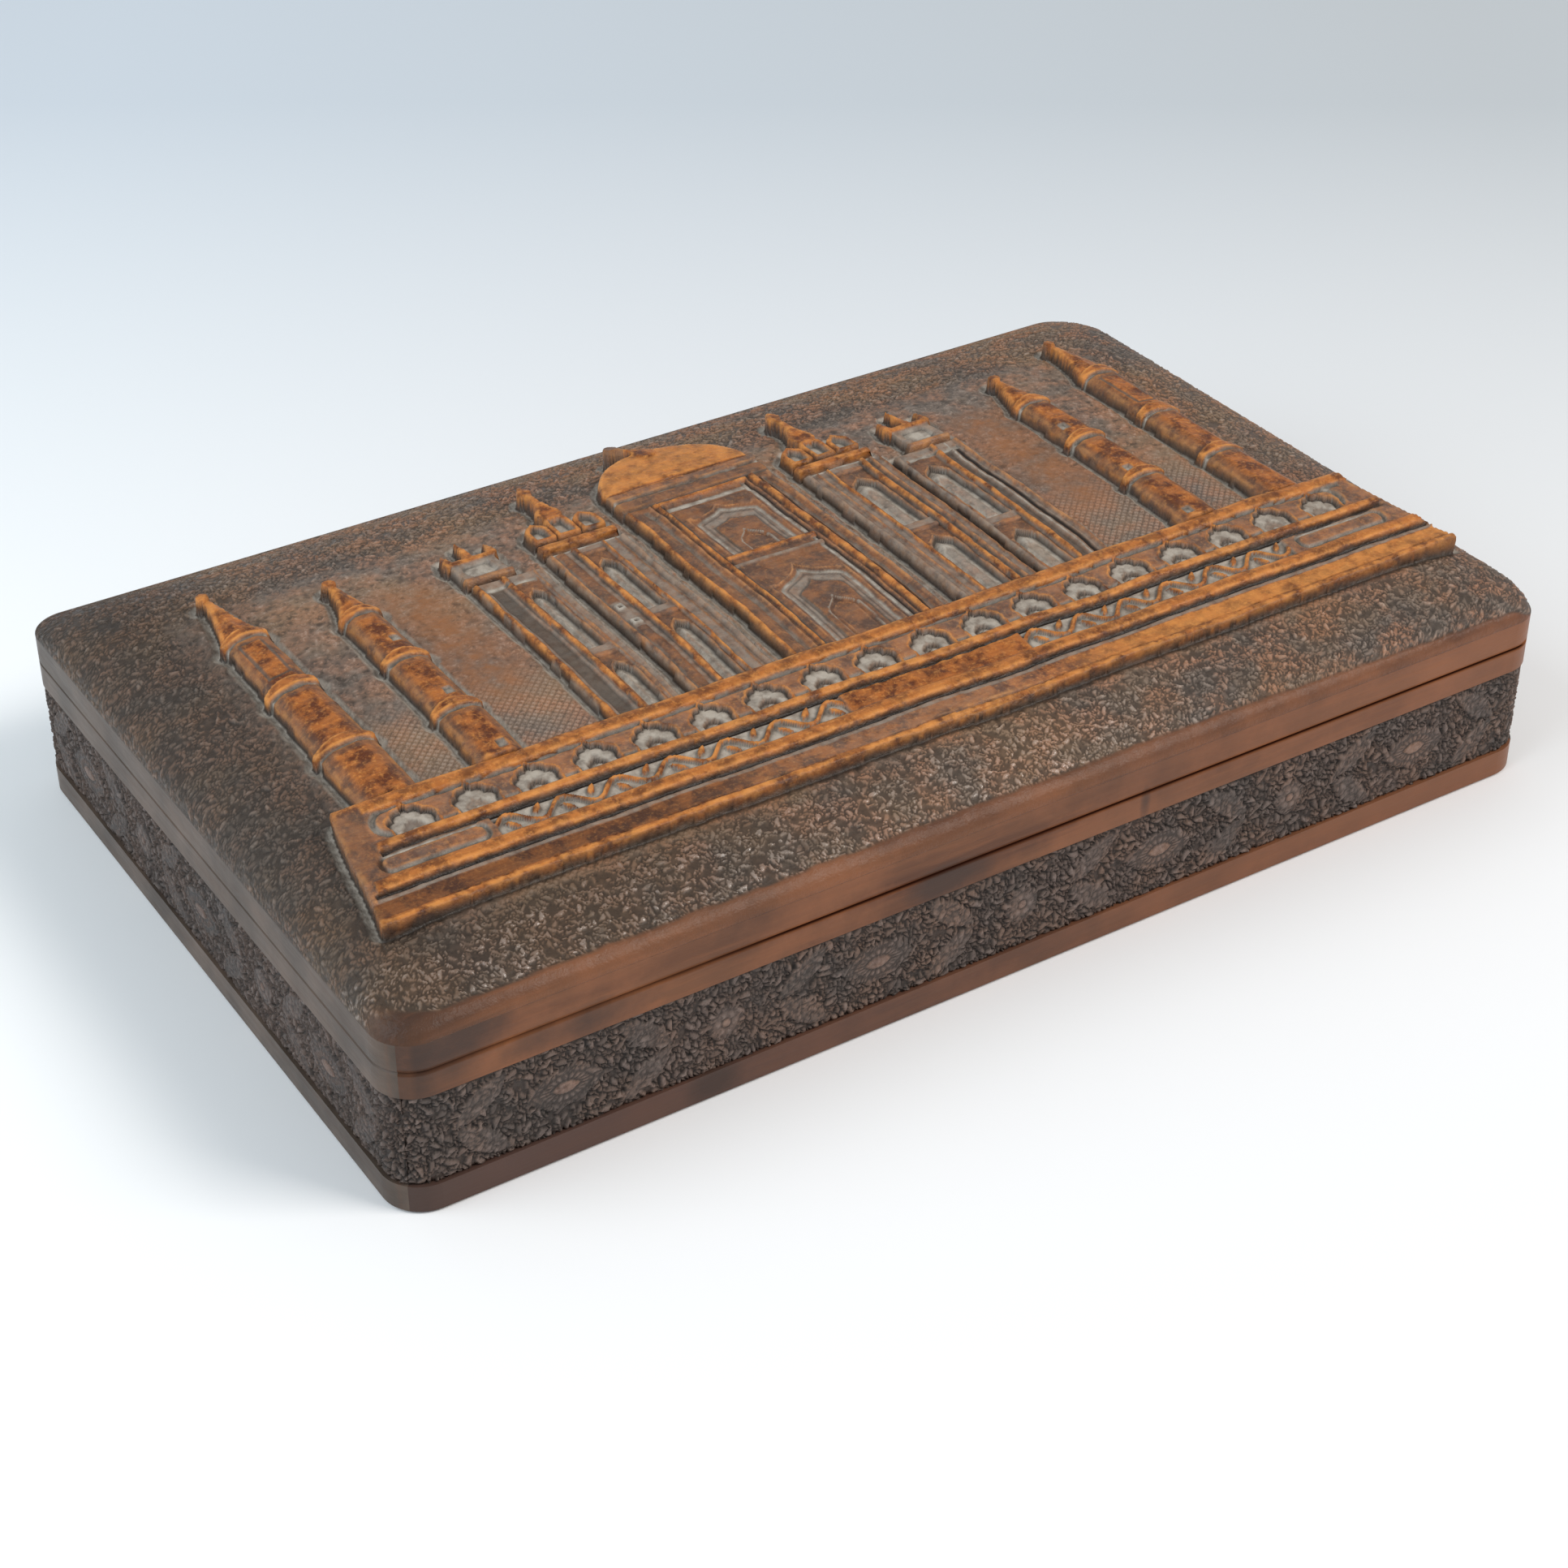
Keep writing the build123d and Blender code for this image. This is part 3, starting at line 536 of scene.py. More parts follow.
# A rod or a groove: its middle, half its width, its height and its tone
BLOCK_RODS = ((-19.7, 0.7, 2.2, GOLDEN), (-17.6, 0.6, 1.9, BROWN), (-13.9, 0.5, 2.2, DULL_GOLD),
              (-12.2, 0.6, 2.5, GOLDEN), (13.1, 0.4, 2.0, DULL_GOLD), (14.9, 1.0, 2.7, GOLDEN),
              (19.5, 0.7, 2.2, DULL_GOLD))
BLOCK_GROOVES = ((-15.7, 0.6, 1.2, GREY_BROWN), (-10.9, 0.35, 1.2, SHADE), (11.4, 0.5, 1.2, DUSTY_SHEEN),
                 (12.3, 0.25, 1.2, DEEP_SHADE), (16.5, 0.3, 1.2, DEEP_SHADE), (17.5, 0.4, 1.2, GREY_BROWN))
# A panel: its foot and top, where its wide arch springs and ends, the same for its small arch, and half the
# width of the small arch
BLOCK_PANELS = ((9.2, 37.4, 26.0, 30.6, 13.0, 18.6, 3.4),
                (TERRACE_TOP, 2.4, -10.6, -3.2, -23.0, -17.6, 3.8))


def carve_block(relief):
    """The middle block: cornices, rods, two arched panels and the dome with its finial."""
    relief.lift(rect(-BLOCK_HALF, BLOCK_HALF, TERRACE_TOP, BLOCK_TOP), 1.7, BROWN)
    for middle, half, height, tone in BLOCK_RODS:
        relief.rod(middle, half, TERRACE_TOP, RODS_TOP, height, tone)
    for middle, half, level, tone in BLOCK_GROOVES:
        relief.line(middle, half, TERRACE_TOP, GROOVES_TOP, level, tone)
    relief.lift(rect(-BLOCK_HALF - 0.4, BLOCK_HALF, CORNICE_FOOT, BLOCK_TOP), 2.5, DULL_GOLD)
    relief.lift(rect(-BLOCK_HALF - 0.2, BLOCK_HALF, *BLOCK_FRIEZE), 2.3, BROWN)
    for middle, half, tone in CORNICE_GROOVES:
        relief.line(middle, half, -BLOCK_HALF, BLOCK_HALF, 1.7, tone, upright=False)
    relief.rod(INNER_CORNICE, 0.8, *INNER_CORNICE_SIDES, 2.5, upright=False)
    for panel in BLOCK_PANELS:
        carve_panel(relief, *panel)
    relief.lift(rect(*TABLET), 1.55, BROWN, 0.8)
    relief.line(TABLET_GROOVE, 0.7, PANEL_LEFT, PANEL_RIGHT - 0.1, 1.2, DUSTY_SHEEN, upright=False)
    for middle, height, tone in BELTS:
        relief.rod(middle, 1.0, *BELT_SIDES, height, tone, upright=False)
    carve_dome(relief)


def carve_panel(relief, foot, top, spring, apex, inner_spring, inner_apex, inner_half):
    """A sunk panel with a wide arch in an outline grey with dust and painted sheen, and a small arch in it.
    """
    relief.cut(rect(PANEL_LEFT, PANEL_RIGHT, foot, top), 1.25, BROWN, 0.8)
    arch = ogee(PANEL_MIDDLE, foot, 8.4, spring, apex)
    relief.lift(edge_of(arch, 1.0, 1.2), 1.6, DULL_GOLD, 0.7)
    relief.cut(arch, 1.0, GREY_BROWN, 0.6)
    relief.cut(edge_of(arch, 0.6, -0.2), 0.85, DUSTY_SHEEN, 0.4)
    relief.cut(edge_of(arch, 0.4, -1.3), 0.9, SHADE, 0.4)
    between = ogee(PANEL_MIDDLE, foot, 5.8, spring - 3.2, apex - 5.0)
    relief.lift(between, 1.35, BROWN, 0.7)
    relief.cut(edge_of(between, 0.5, 0.1), 0.9, SHADE, 0.4)
    inner = ogee(PANEL_MIDDLE, foot, inner_half, inner_spring, inner_apex)
    relief.cut(inner, 0.9, BROWN, 0.6)
    relief.lift(edge_of(inner, 0.6, 0.3), 1.5, DUSTY_SHEEN, 0.4)
    relief.lift(edge_of(inner, 0.4, -1.0), 1.2, DULL_GOLD, 0.4)


def carve_dome(relief):
    """The dome, level while the lid falls away behind it, and its finial, which leans to the left."""
    bounds = (-BLOCK_HALF, BLOCK_HALF, BLOCK_TOP, BLOCK_TOP + DOME_RISE)

    def share(x, y):
        return np.hypot((x - DOME_MIDDLE) / DOME_HALF, (y - BLOCK_TOP) / DOME_RISE)

    def distance(x, y):
        return np.maximum((share(x, y) - 1) * DOME_RISE, BLOCK_TOP - 0.5 - y)

    def height(x, y):
        rise = np.clip((y - BLOCK_TOP) / DOME_RISE, 0, 1)
        return 2.1 + 1.1 * rise ** 2 + 0.8 * np.sqrt(np.clip(1.02 - share(x, y) ** 2, 0, 1))

    # The dome carries a painted highlight
    relief.lift((bounds, distance), height, HIGHLIGHT_GOLD, 0.8)
    relief.line(BLOCK_TOP + 0.2, 0.3, -BLOCK_HALF, BLOCK_HALF, 2.2, BROWN, upright=False)
    relief.taper(FINIAL_FOOT, FINIAL_TRAVEL, 14,
                 lambda along: 3.0 - 2.9 * along * (1 - along) * 2 - 1.1 * along,
                 lambda along: 3.7 + 0.7 * along, lambda along: BROWN if along > 0.6 else GOLDEN, 0.7)


# The pavilions beside the middle block. A bar is its middle, half its width, its height and its tone.
LEFT_INNER_BARS = ((-25.9, 0.8, 2.1, WORN_BROWN), (-27.7, 0.4, 1.7, BROWN), (-31.0, 0.5, 2.1, GOLDEN),
                   (-38.8, 0.75, 2.5, GOLDEN), (-42.4, 1.5, 1.8, BROWN), (-44.9, 0.55, 2.1, DULL_GOLD))
RIGHT_INNER_BARS = ((26.2, 0.7, 2.1, WORN_BROWN), (28.6, 0.5, 1.9, DULL_GOLD), (31.3, 0.5, 2.2, GOLDEN),
                    (41.0, 0.75, 2.5, GOLDEN), (43.5, 0.6, 2.2, DULL_GOLD), (46.0, 0.5, 1.9, BROWN))
LEFT_OUTER_BARS = ((-49.4, 0.4, 1.7, GREY_BROWN), (-51.0, 0.4, 1.8, DULL_GOLD), (-58.4, 0.8, 2.4, GOLDEN),
                   (-65.4, 0.75, 2.1, GOLDEN))
RIGHT_OUTER_BARS = ((49.5, 0.45, 1.8, GREY_BROWN), (59.3, 0.8, 2.4, GOLDEN), (63.2, 0.4, 1.6, DUSTY_SHEEN),
                    (66.5, 0.65, 2.2, DULL_GOLD))
# The slots of stacked arches, each its foot and its head
INNER_SLOTS = ((0.6, 28.4), (TERRACE_TOP, -3.4))
OUTER_SLOTS = ((-7.6, 24.4), (TERRACE_TOP, -11.6))
# A pavilion: its left edge, its right edge, its top, its bars, the sides of its slots, and the slots
PAVILIONS = ((-45.6, -25.2, 32.4, LEFT_INNER_BARS, (-37.9, -31.6), INNER_SLOTS),
             (25.3, 46.8, 32.4, RIGHT_INNER_BARS, (32.0, 40.1), INNER_SLOTS),
             (-66.3, -48.8, 29.0, LEFT_OUTER_BARS, (-57.5, -51.5), OUTER_SLOTS),
             (48.8, 67.2, 29.0, RIGHT_OUTER_BARS, (50.2, 58.2), OUTER_SLOTS))
OUTER_GROOVE_TOP = 24.6
OUTER_GROOVES = ((-63.7, -60.2), (60.4, 62.5))
OUTER_LEDGE = 25.2
OUTER_LEDGES = ((-64.6, -52.0), (51.0, 65.6))
DEEP_GROOVE_MIDDLE = 64.6
KNOTS_MIDDLE = -42.4
KNOT_PLACES = (3.6, -3.4)
CUPOLA_SIDES = (26.0, 45.0)
CUPOLA_FOOT = 38.4
CREST_SIDES = (55.4, 65.6)
CREST_FOOT = 31.6


def carve_pavilion(relief, low, high, top, bars, sides, slots):
    """A pavilion front: a reeded frame, and slots of stacked arches between two of its bars."""
    relief.lift(rect(low, high, TERRACE_TOP, top), 1.3, WORN_BROWN)
    left, right = sides
    middle, half = (left + right) / 2, (right - left) / 2
    for foot, head in slots:
        relief.cut(rect(left, right, foot, head), 1.0, BROWN, 0.5)
        arch = ogee(middle, foot, half - 0.9, head - 8.5, head - 3.5)
        relief.lift(edge_of(arch, 0.7, 0.4), 1.35, DULL_GOLD, 0.5)
        relief.cut(arch, 0.6, DUSTY_SHEEN, 0.6)
        relief.cut(edge_of(arch, 0.4, -0.3), 0.5, SHADE, 0.4)
        relief.cut(ogee(middle, foot, 0.5 * half, head - 13.5, head - 8.5), 0.35, GREY_BROWN, 0.6)
        relief.lift(rect(left, right, head - 0.2, head + 1.4), 1.5, DULL_GOLD, 0.5)
    for middle, half, height, tone in bars:
        relief.rod(middle, half, TERRACE_TOP, top - 0.6, height, tone)


def carve_knots(relief, middle):
    """The two small squares on the broad bar of the left inner pavilion."""
    relief.cut(rect(middle - 1.6, middle + 1.6, -5.6, 5.8), 1.5, GREY_BROWN, 0.5)
    for place in KNOT_PLACES:
        relief.lift(pane(middle, place, 1.3, 1.3), 2.0, DUSTY_SHEEN, 0.5)
        relief.cut(pane(middle, place, 0.45, 0.45), 1.5, SHADE, 0.4)


def carve_cupola(relief, side, near, far, foot):
    """The open cupola of three arches over an inner pavilion, with a knobbed spire."""
    low, high = sorted((side * near, side * far))
    relief.line(foot - 6.0, 1.0, low, high, 1.4, DUSTY_SHEEN, upright=False)
    relief.rod(foot - 3.2, 1.5, low - 0.6, high + 0.6, 2.5, upright=False)
    relief.line(foot - 1.0, 0.5, low, high, 1.6, SHADE, upright=False)
    pitch = (high - low) / 3
    arches = [(low + pitch * (index + 0.5), foot + (2.4 if index == 1 else 0.0)) for index in range(3)]
    for middle, level in arches:
        relief.lift(ogee(middle, foot, pitch / 2 - 0.1, level + 4.6, level + 8.6), 2.4, GOLDEN, 0.6)
    for middle, level in arches:
        relief.cut(ogee(middle, foot + 0.8, pitch / 2 - 1.4, level + 3.6, level + 6.8), 0.8, DUSTY_SHEEN)
    relief.taper(((low + high) / 2, foot + 10.5), (0.8, 15.5), 20,
                 lambda along: 2.6 * math.exp(-4 * along) + 0.75 + 1.0 * bell(along - 0.84, 0.10),
                 lambda along: 2.6 + 0.9 * along)


def carve_crest(relief, side, near, far, foot):
    """The crest over an outer pavilion: a cap with three horns over a sunk cup."""
    low, high = sorted((side * near, side * far))
    middle = (low + high) / 2
    relief.lift(rect(low - 0.5, high + 0.5, foot, foot + 9.0), 1.8, GREY_BROWN, 0.6)
    relief.rod(foot - 0.6, 1.0, low - 1.0, high + 1.0, 2.2, DULL_GOLD, upright=False)
    relief.cut(rect(low + 1.6, high - 1.6, foot + 0.8, foot + 6.8, 1.4), 0.9, DUSTY_SHEEN, 0.8)
    relief.rod(foot + 8.4, 1.2, low - 1.2, high + 1.2, 2.5, GOLDEN, upright=False)
    for place, length in ((low - 0.4, 4.0), (middle, 8.0), (high + 0.4, 4.0)):
        relief.taper((place, foot + 9.0), (0, length), 9, lambda along: 1.3 - 0.85 * along,
                     lambda along: 2.5 - 0.4 * along, GOLDEN, 0.5)


# The round towers: the middle, half the width at the top and at the foot, the low and high edge of each
# collar, the tip, the height, and whether a long panel runs down the front
TOWERS = ((-118.2, 4.9, 6.5, ((36.9, 39.8), (12.5, 16.0), (-13.4, -10.4)), 60.4, 3.3, True),
          (119.2, 5.0, 6.3, ((37.4, 40.4), (12.9, 16.4), (-11.4, -8.4)), 60.4, 3.3, True),
          (-93.1, 4.1, 5.7, ((30.6, 33.4), (8.2, 11.4), (-14.8, -11.8)), 48.4, 3.1, False),
          (93.9, 4.3, 5.7, ((32.0, 35.0), (9.8, 12.8), (-12.6, -9.6)), 49.6, 3.1, False))
WINDOW_MIDDLES = (-91.4, 92.2)
WINDOW_PLACES = (17.2, -8.0, -30.6)
WINDOW_LEVEL = 2.3


def carve_tower(relief, middle, top_half, foot_half, collars, tip, height, panelled):
    """A round tower in three facets, with collars and a pointed spire."""
    crest = collars[0][1]

    def half(y):
        share = np.clip((crest - y) / (crest - TERRACE_TOP), 0, 1)
        return top_half + (foot_half - top_half) * share

    def shaft(x, y):
        return np.maximum(np.abs(x - middle) - half(y), np.maximum(y - crest, TERRACE_TOP - 1 - y))

    def facets(x, y):
        share = np.abs(x - middle) / half(y)
        return height * (1 - 0.50 * np.clip((share - 0.45) / 0.55, 0, 1) ** 1.3)

    whole = (middle - foot_half, middle + foot_half, TERRACE_TOP, crest), shaft
    relief.lift(whole, facets, GOLDEN, 0.5)
    # Painted shade down both sides of the round shaft
    relief.tint(whole, BROWN, lambda x, y: 0.8 * smooth_step(0.45, 0.8, np.abs(x - middle) / half(y)))
    if panelled:
        panel = rect(middle - 2.7, middle + 2.7, collars[1][1] + 2.6, collars[0][0] - 2.4)
        relief.cut(edge_of(panel, 0.5), height - 0.35, SHADE, 0.4)

    def width(y):
        share = np.clip((y - crest) / (tip - crest), 0, 1)
        return top_half * (1 - share) ** 1.5 + 0.9 * share

    def spire(x, y):
        return np.maximum(np.abs(x - middle) - width(y), np.maximum(crest - 0.5 - y, y - tip))

    def spire_height(x, y):
        share = np.clip((y - crest) / (tip - crest), 0, 1)
        return (height - 0.5 * share) * (1 - 0.45 * np.abs(x - middle) / top_half)

    relief.lift(((middle - top_half, middle + top_half, crest, tip), spire), spire_height, GOLDEN, 0.5)
    relief.lift(disc(middle - 0.3, tip - 1.4, 1.7), height + 0.1, GOLDEN, 0.6)
    for low, high in collars:
        carve_collar(relief, middle, float(half(low)) + 0.9, low, high, height)


def carve_collar(relief, middle, reach, low, high, height):
    """A collar: a rounded band whose upper edge arches, with a groove of dust and painted sheen under it,
    painted shadow below and a painted highlight on its edge.
    """
    def band(x, y):
        upper = high + 0.5 - 1.6 * rounding(x, middle, reach)
        return np.maximum(np.maximum(y - upper, low - y), np.abs(x - middle) - reach)

    def rounded(x, y):
        return (height + 0.65) * (1 - 0.48 * rounding(x, middle, reach))

    def under(x, y):
        return np.maximum(np.abs(y - low + 0.45) - 0.45, np.abs(x - middle) - reach + 0.4)

    bounds = (middle - reach, middle + reach, low - 2, high + 2)
    # Painted shadow under the collar
    where, share, _ = relief.place(rect(middle - reach, middle + reach, low - 3.0, low), 0, 1.2)
    relief.paint(where, 0.6 * share * (relief.height[where] > 1), BROWN)
    relief.cut((bounds, under), lambda x, y: rounded(x, y) - 1.3, DUSTY_SHEEN, 0.4)
    relief.lift((bounds, band), rounded, GOLDEN, 0.5)
    # Painted highlight along the collar's edge
    relief.tint(edge_of((bounds, band), 0.7, -0.5), HIGHLIGHT_GOLD, 0.8)


def carve_building(relief):
    """Everything that stands behind the terrace."""
    carve_block(relief)
    for pavilion in PAVILIONS:
        carve_pavilion(relief, *pavilion)
    carve_knots(relief, KNOTS_MIDDLE)
    for low, high in OUTER_GROOVES:
        relief.cut(rect(low, high, TERRACE_TOP, OUTER_GROOVE_TOP), 0.8, SHADE, 0.5)
    relief.line(DEEP_GROOVE_MIDDLE, 0.5, TERRACE_TOP, OUTER_GROOVE_TOP, 0.9, DEEP_SHADE)
    for low, high in OUTER_LEDGES:
        relief.line(OUTER_LEDGE, 0.6, low, high, 1.0, DUSTY_SHEEN, upright=False)
    for side in (-1, 1):
        carve_cupola(relief, side, *CUPOLA_SIDES, CUPOLA_FOOT)
        carve_crest(relief, side, *CREST_SIDES, CREST_FOOT)
    for tower in TOWERS:
        carve_tower(relief, *tower)
    for middle in WINDOW_MIDDLES:
        for place in WINDOW_PLACES:
            relief.cut(pane(middle, place, 1.0, 1.3), WINDOW_LEVEL, DUSTY_SHEEN, 0.5)


def distance_outside(inside, step, reach):
    """How far each cell is from a region, up to a reach."""
    far = np.where(inside, 0.0, reach)
    for _ in range(int(reach / step) + 1):
        for down, across in ((0, 1), (1, 0), (1, 1), (1, -1)):
            for sign in (-1, 1):
                moved = np.roll(far, (sign * down, sign * across), (0, 1))
                far = np.minimum(far, moved + step * math.hypot(down, across))
    return far


# Foliage. A leaf is its X, its Y, its angle, half its length, half its width and its bend.
LEAF_CUT = 0.30
LEAVES_AT_ONCE = 3000
SCROLL_ROW_PITCH = 0.87
SCROLL_STEPS = 26
SCROLL_TURNS = 1.25
SCROLL_PETALS = 6


def towards(angle):
    """A step of length 1 at an angle."""
    return np.array([math.cos(angle), math.sin(angle)])


def scroll_leaves(low, high, pitch, size, seed):
    """Leaves in scrolls over a rectangle, one scroll to a pitch."""
    rng = np.random.default_rng(seed)
    leaves = []
    for row in range(int((high[1] - low[1]) / (pitch * SCROLL_ROW_PITCH)) + 2):
        for column in range(int((high[0] - low[0]) / pitch) + 2):
            shift = 0.5 * (row % 2)
            heart = np.array([low[0] + (column + shift) * pitch, low[1] + row * pitch * SCROLL_ROW_PITCH])
            heart += rng.uniform(-0.22, 0.22, 2) * pitch
            hand = 1 if (row + column) % 2 else -1
            leaves += scroll(heart, hand, pitch, size, rng)
    return leaves


def scroll(heart, hand, pitch, size, rng):
    """One scroll: a curling stem with leaves along it and a flower at its heart."""
    leaves = []
    start = rng.uniform(0, 2 * math.pi)
    reach = pitch * rng.uniform(0.50, 0.62)
    for step in range(SCROLL_STEPS):
        share = step / SCROLL_STEPS
        angle = start + hand * 2 * math.pi * SCROLL_TURNS * share
        at = heart + reach * (1 - 0.72 * share) * towards(angle)
        heading = angle + hand * math.pi / 2 + hand * 0.25
        leaves.append((*at, heading, 0.85 * size, 0.24 * size, 0.0))
        if step % 2 == 0:
            side = 1 if step % 4 == 0 else -1
            lean = heading + side * rng.uniform(0.6, 1.0)
            leaves.append((*(at + 1.15 * size * towards(lean)), lean, rng.uniform(0.9, 1.3) * size,
                           rng.uniform(0.36, 0.5) * size, side * rng.uniform(0.1, 0.3) / size))
    for petal in range(SCROLL_PETALS):
        angle = start + petal * 2 * math.pi / SCROLL_PETALS
        leaves.append((*(heart + 0.75 * size * towards(angle)), angle, 0.6 * size, 0.3 * size, 0.0))
    return leaves


def scattered_leaves(low, high, count, size, seed):
    """Single leaves strewn over a rectangle at all angles, to fill the ground."""
    rng = np.random.default_rng(seed)
    return [(rng.uniform(low[0], high[0]), rng.uniform(low[1], high[1]), rng.uniform(0, 2 * math.pi),
             rng.uniform(0.4, 1.4) * size, rng.uniform(0.22, 0.5) * size, rng.uniform(-0.5, 0.5) / size)
            for _ in range(count)]


def strokes(low, high, count, size, seed):
    """Short gouge strokes strewn over a rectangle, neighbours lying nearly alike."""
    rng = np.random.default_rng(seed)
    x, y = rng.uniform(low[0], high[0], count), rng.uniform(low[1], high[1], count)
    angle = 2.4 * np.sin(0.41 * x + 1.5 * np.sin(0.27 * y))
    angle += 2.4 * np.sin(0.37 * y + 1.3 * np.sin(0.31 * x + 2))
    angle += rng.normal(0, 0.9, count)
    return list(zip(x, y, angle, rng.uniform(0.6, 1.2, count) * size, rng.uniform(0.22, 0.36, count) * size,
                    rng.uniform(-0.3, 0.3, count) / size))


def stamp(u_lines, v_lines, leaves, midrib=0.35):
    """Leaves laid on a grid, the later ones on top: 0 in the cut round a leaf, up to 1 on its back."""
    leaves = np.array(leaves)
    levels = np.random.default_rng(len(leaves)).uniform(0.40, 0.98, len(leaves))
    step_u, step_v = np.median(np.diff(u_lines)), np.median(np.diff(v_lines))
    canvas = np.zeros((len(v_lines), len(u_lines)))
    reach = leaves[:, 3].max() + LEAF_CUT
    across, down = int(reach / step_u) + 2, int(reach / step_v) + 2
    offset_v, offset_u = np.mgrid[-down:down + 1, -across:across + 1]
    for first in range(0, len(leaves), LEAVES_AT_ONCE):
        batch = slice(first, first + LEAVES_AT_ONCE)
        x, y, angle, half_length, half_width, bend = leaves[batch].T[:, :, None, None]
        column = np.searchsorted(u_lines, x) + offset_u
        row = np.searchsorted(v_lines, y) + offset_v
        valid = (column >= 0) & (column < len(u_lines)) & (row >= 0) & (row < len(v_lines))
        column, row = np.clip(column, 0, len(u_lines) - 1), np.clip(row, 0, len(v_lines) - 1)
        away_x, away_y = u_lines[column] - x, v_lines[row] - y
        along = away_x * np.cos(angle) + away_y * np.sin(angle)
        side = away_y * np.cos(angle) - away_x * np.sin(angle) - bend * along ** 2
        width = half_width * np.clip(1 - (along / half_length) ** 2, 0, 1) ** 0.7 + 1e-6
        share = np.clip(1 - np.abs(side) / width, 0, 1)
        bump = 0.45 * (share > 0) + 0.55 * (1 - (1 - share) ** 2)
        on_rib = (share > 0) * (np.abs(along) < 0.7 * half_length)
        bump -= midrib * bell(side, 0.16 * half_width + 0.05) * on_rib
        order = np.arange(first + 1, first + 1 + len(x))[:, None, None]
        valid &= (np.abs(side) < width + LEAF_CUT) & (np.abs(along) < half_length + LEAF_CUT)
        laid = order + np.clip(bump, 0, 1) * levels[batch, None, None]
        np.maximum.at(canvas, (row[valid], column[valid]), laid[valid])
    return canvas % 1.0


# Meshes

def mesh_piece(name, points, faces, flat_faces=(), attributes=None, uv=None, flat_uv=None):
    """A mesh piece from points, quads, and flat faces of any size in a second material."""
    mesh = bpy.data.meshes.new(name)
    mesh.vertices.add(len(points))
    mesh.vertices.foreach_set("co", (np.asarray(points) * MM).astype(np.float32).ravel())
    quad_corners = np.asarray(faces).ravel()
    flat_corners = np.concatenate([quad_corners[:0], *flat_faces])
    corners = np.concatenate([quad_corners, flat_corners])
    sizes = np.array([4] * len(faces) + [len(face) for face in flat_faces])
    mesh.loops.add(len(corners))
    mesh.loops.foreach_set("vertex_index", corners.astype(np.int32))
    mesh.polygons.add(len(sizes))
    starts = np.concatenate([[0], np.cumsum(sizes)[:-1]])
    mesh.polygons.foreach_set("loop_start", starts.astype(np.int32))
    mesh.polygons.foreach_set("use_smooth", np.arange(len(sizes)) < len(faces))
    mesh.polygons.foreach_set("material_index", (np.arange(len(sizes)) >= len(faces)).astype(np.int32))
    mesh.update(calc_edges=True)
    for key, values in (attributes or {}).items():
        attribute = mesh.attributes.new(key, "FLOAT", "POINT")
        attribute.data.foreach_set("value", values.astype(np.float32).ravel())
    if uv is not None:
        layer = mesh.uv_layers.new(name="OFBake")
        places = np.concatenate([uv[quad_corners], flat_uv[flat_corners]])
        layer.data.foreach_set("uv", places.astype(np.float32).ravel())
    mesh.validate()
    piece = bpy.data.objects.new(name, mesh)
    bpy.context.scene.collection.objects.link(piece)
    return piece


def rim_of(rows, columns):
    """The points round the edge of a grid, in order."""
    index = np.arange(rows * columns).reshape(rows, columns)
    return np.concatenate([index[0, :-1], index[:-1, -1], index[-1, :0:-1], index[:0:-1, 0]])


def closed_sheet(front, back):
    """Points and quads of a closed sheet between two grids of points."""
    rows, columns = front.shape[:2]
    count = rows * columns
    rim = rim_of(rows, columns)
    following = np.roll(rim, -1)
    sides = np.stack([rim + count, following + count, following, rim], -1)
    quads = grid_faces(rows, columns)
    points = np.concatenate([front.reshape(-1, 3), back.reshape(-1, 3)])
    return points, np.concatenate([quads, quads[:, ::-1] + count, sides])


def grid_faces(rows, columns):
    """The quads of a grid whose points run row by row."""
    index = np.arange(rows * columns).reshape(rows, columns)
    return np.stack([index[:-1, :-1], index[:-1, 1:], index[1:, 1:], index[1:, :-1]], -1).reshape(-1, 4)


def grid_normals(points):
    """Unit normals of a grid of points."""
    along_row = np.gradient(points, axis=1)
    along_column = np.gradient(points, axis=0)
    normals = np.cross(along_row, along_column)
    return normals / (np.linalg.norm(normals, axis=-1, keepdims=True) + 1e-12)


def edges_of(height, step):
    """How much of an edge and how much of a hollow each point of a carved surface is."""
    near = blurred(height, 0.7 / step) - height
    return smooth_step(0.04, 0.28, -near), smooth_step(0.08, 0.45, near)


# The ground round the building
GROUND_DEPTH = 0.40
BORDER_DEPTH = 0.70
GRAIN_SIZE = 0.42
STROKE_COUNT = 40000
STROKE_SIZE = 0.8
BORDER_LEAF_COUNT = 26000
BORDER_LEAF_SIZE = 1.10
BORDER_SCROLL_PITCH = 10.5
BORDER_SCROLL_LEAF_SIZE = 1.25
HATCH_PITCH = 1.35
GROOVE_DEPTH = 0.9
GROOVE_REACH = 2.5
PLAIN_BAND_TOP = 47.0
PLAIN_BAND_FALL = 1.2
PLAIN_CORNER_FALL = 3.6
# Regions of the lid, each from where it starts to where it is full, in X or in Y
BORDER_ENDS = (122, 132)
BORDER_BACK = (50, 62)
BORDER_FRONT = (-70, -73)
HATCH_BACK = (4, -14)
HATCH_INNER = (67, 70)
HATCH_OUTER = (114, 108)
PLAIN_FRONT = (-80, -90)
PATCH_MIDDLE = 79
PATCH_REACH = 8
PATCH_FRONT = (-22, -4)
PATCH_BACK = (46, 34)
SHALLOW_ENDS = (132, 142)
# Where painted shade darkens the ground: towards the left end, and along the front towards the left
LEFT_SHADE_END = (-95, -140)
LEFT_SHADE_FRONT = (-66, -76)
LEFT_SHADE_RIGHT = (10, -110)
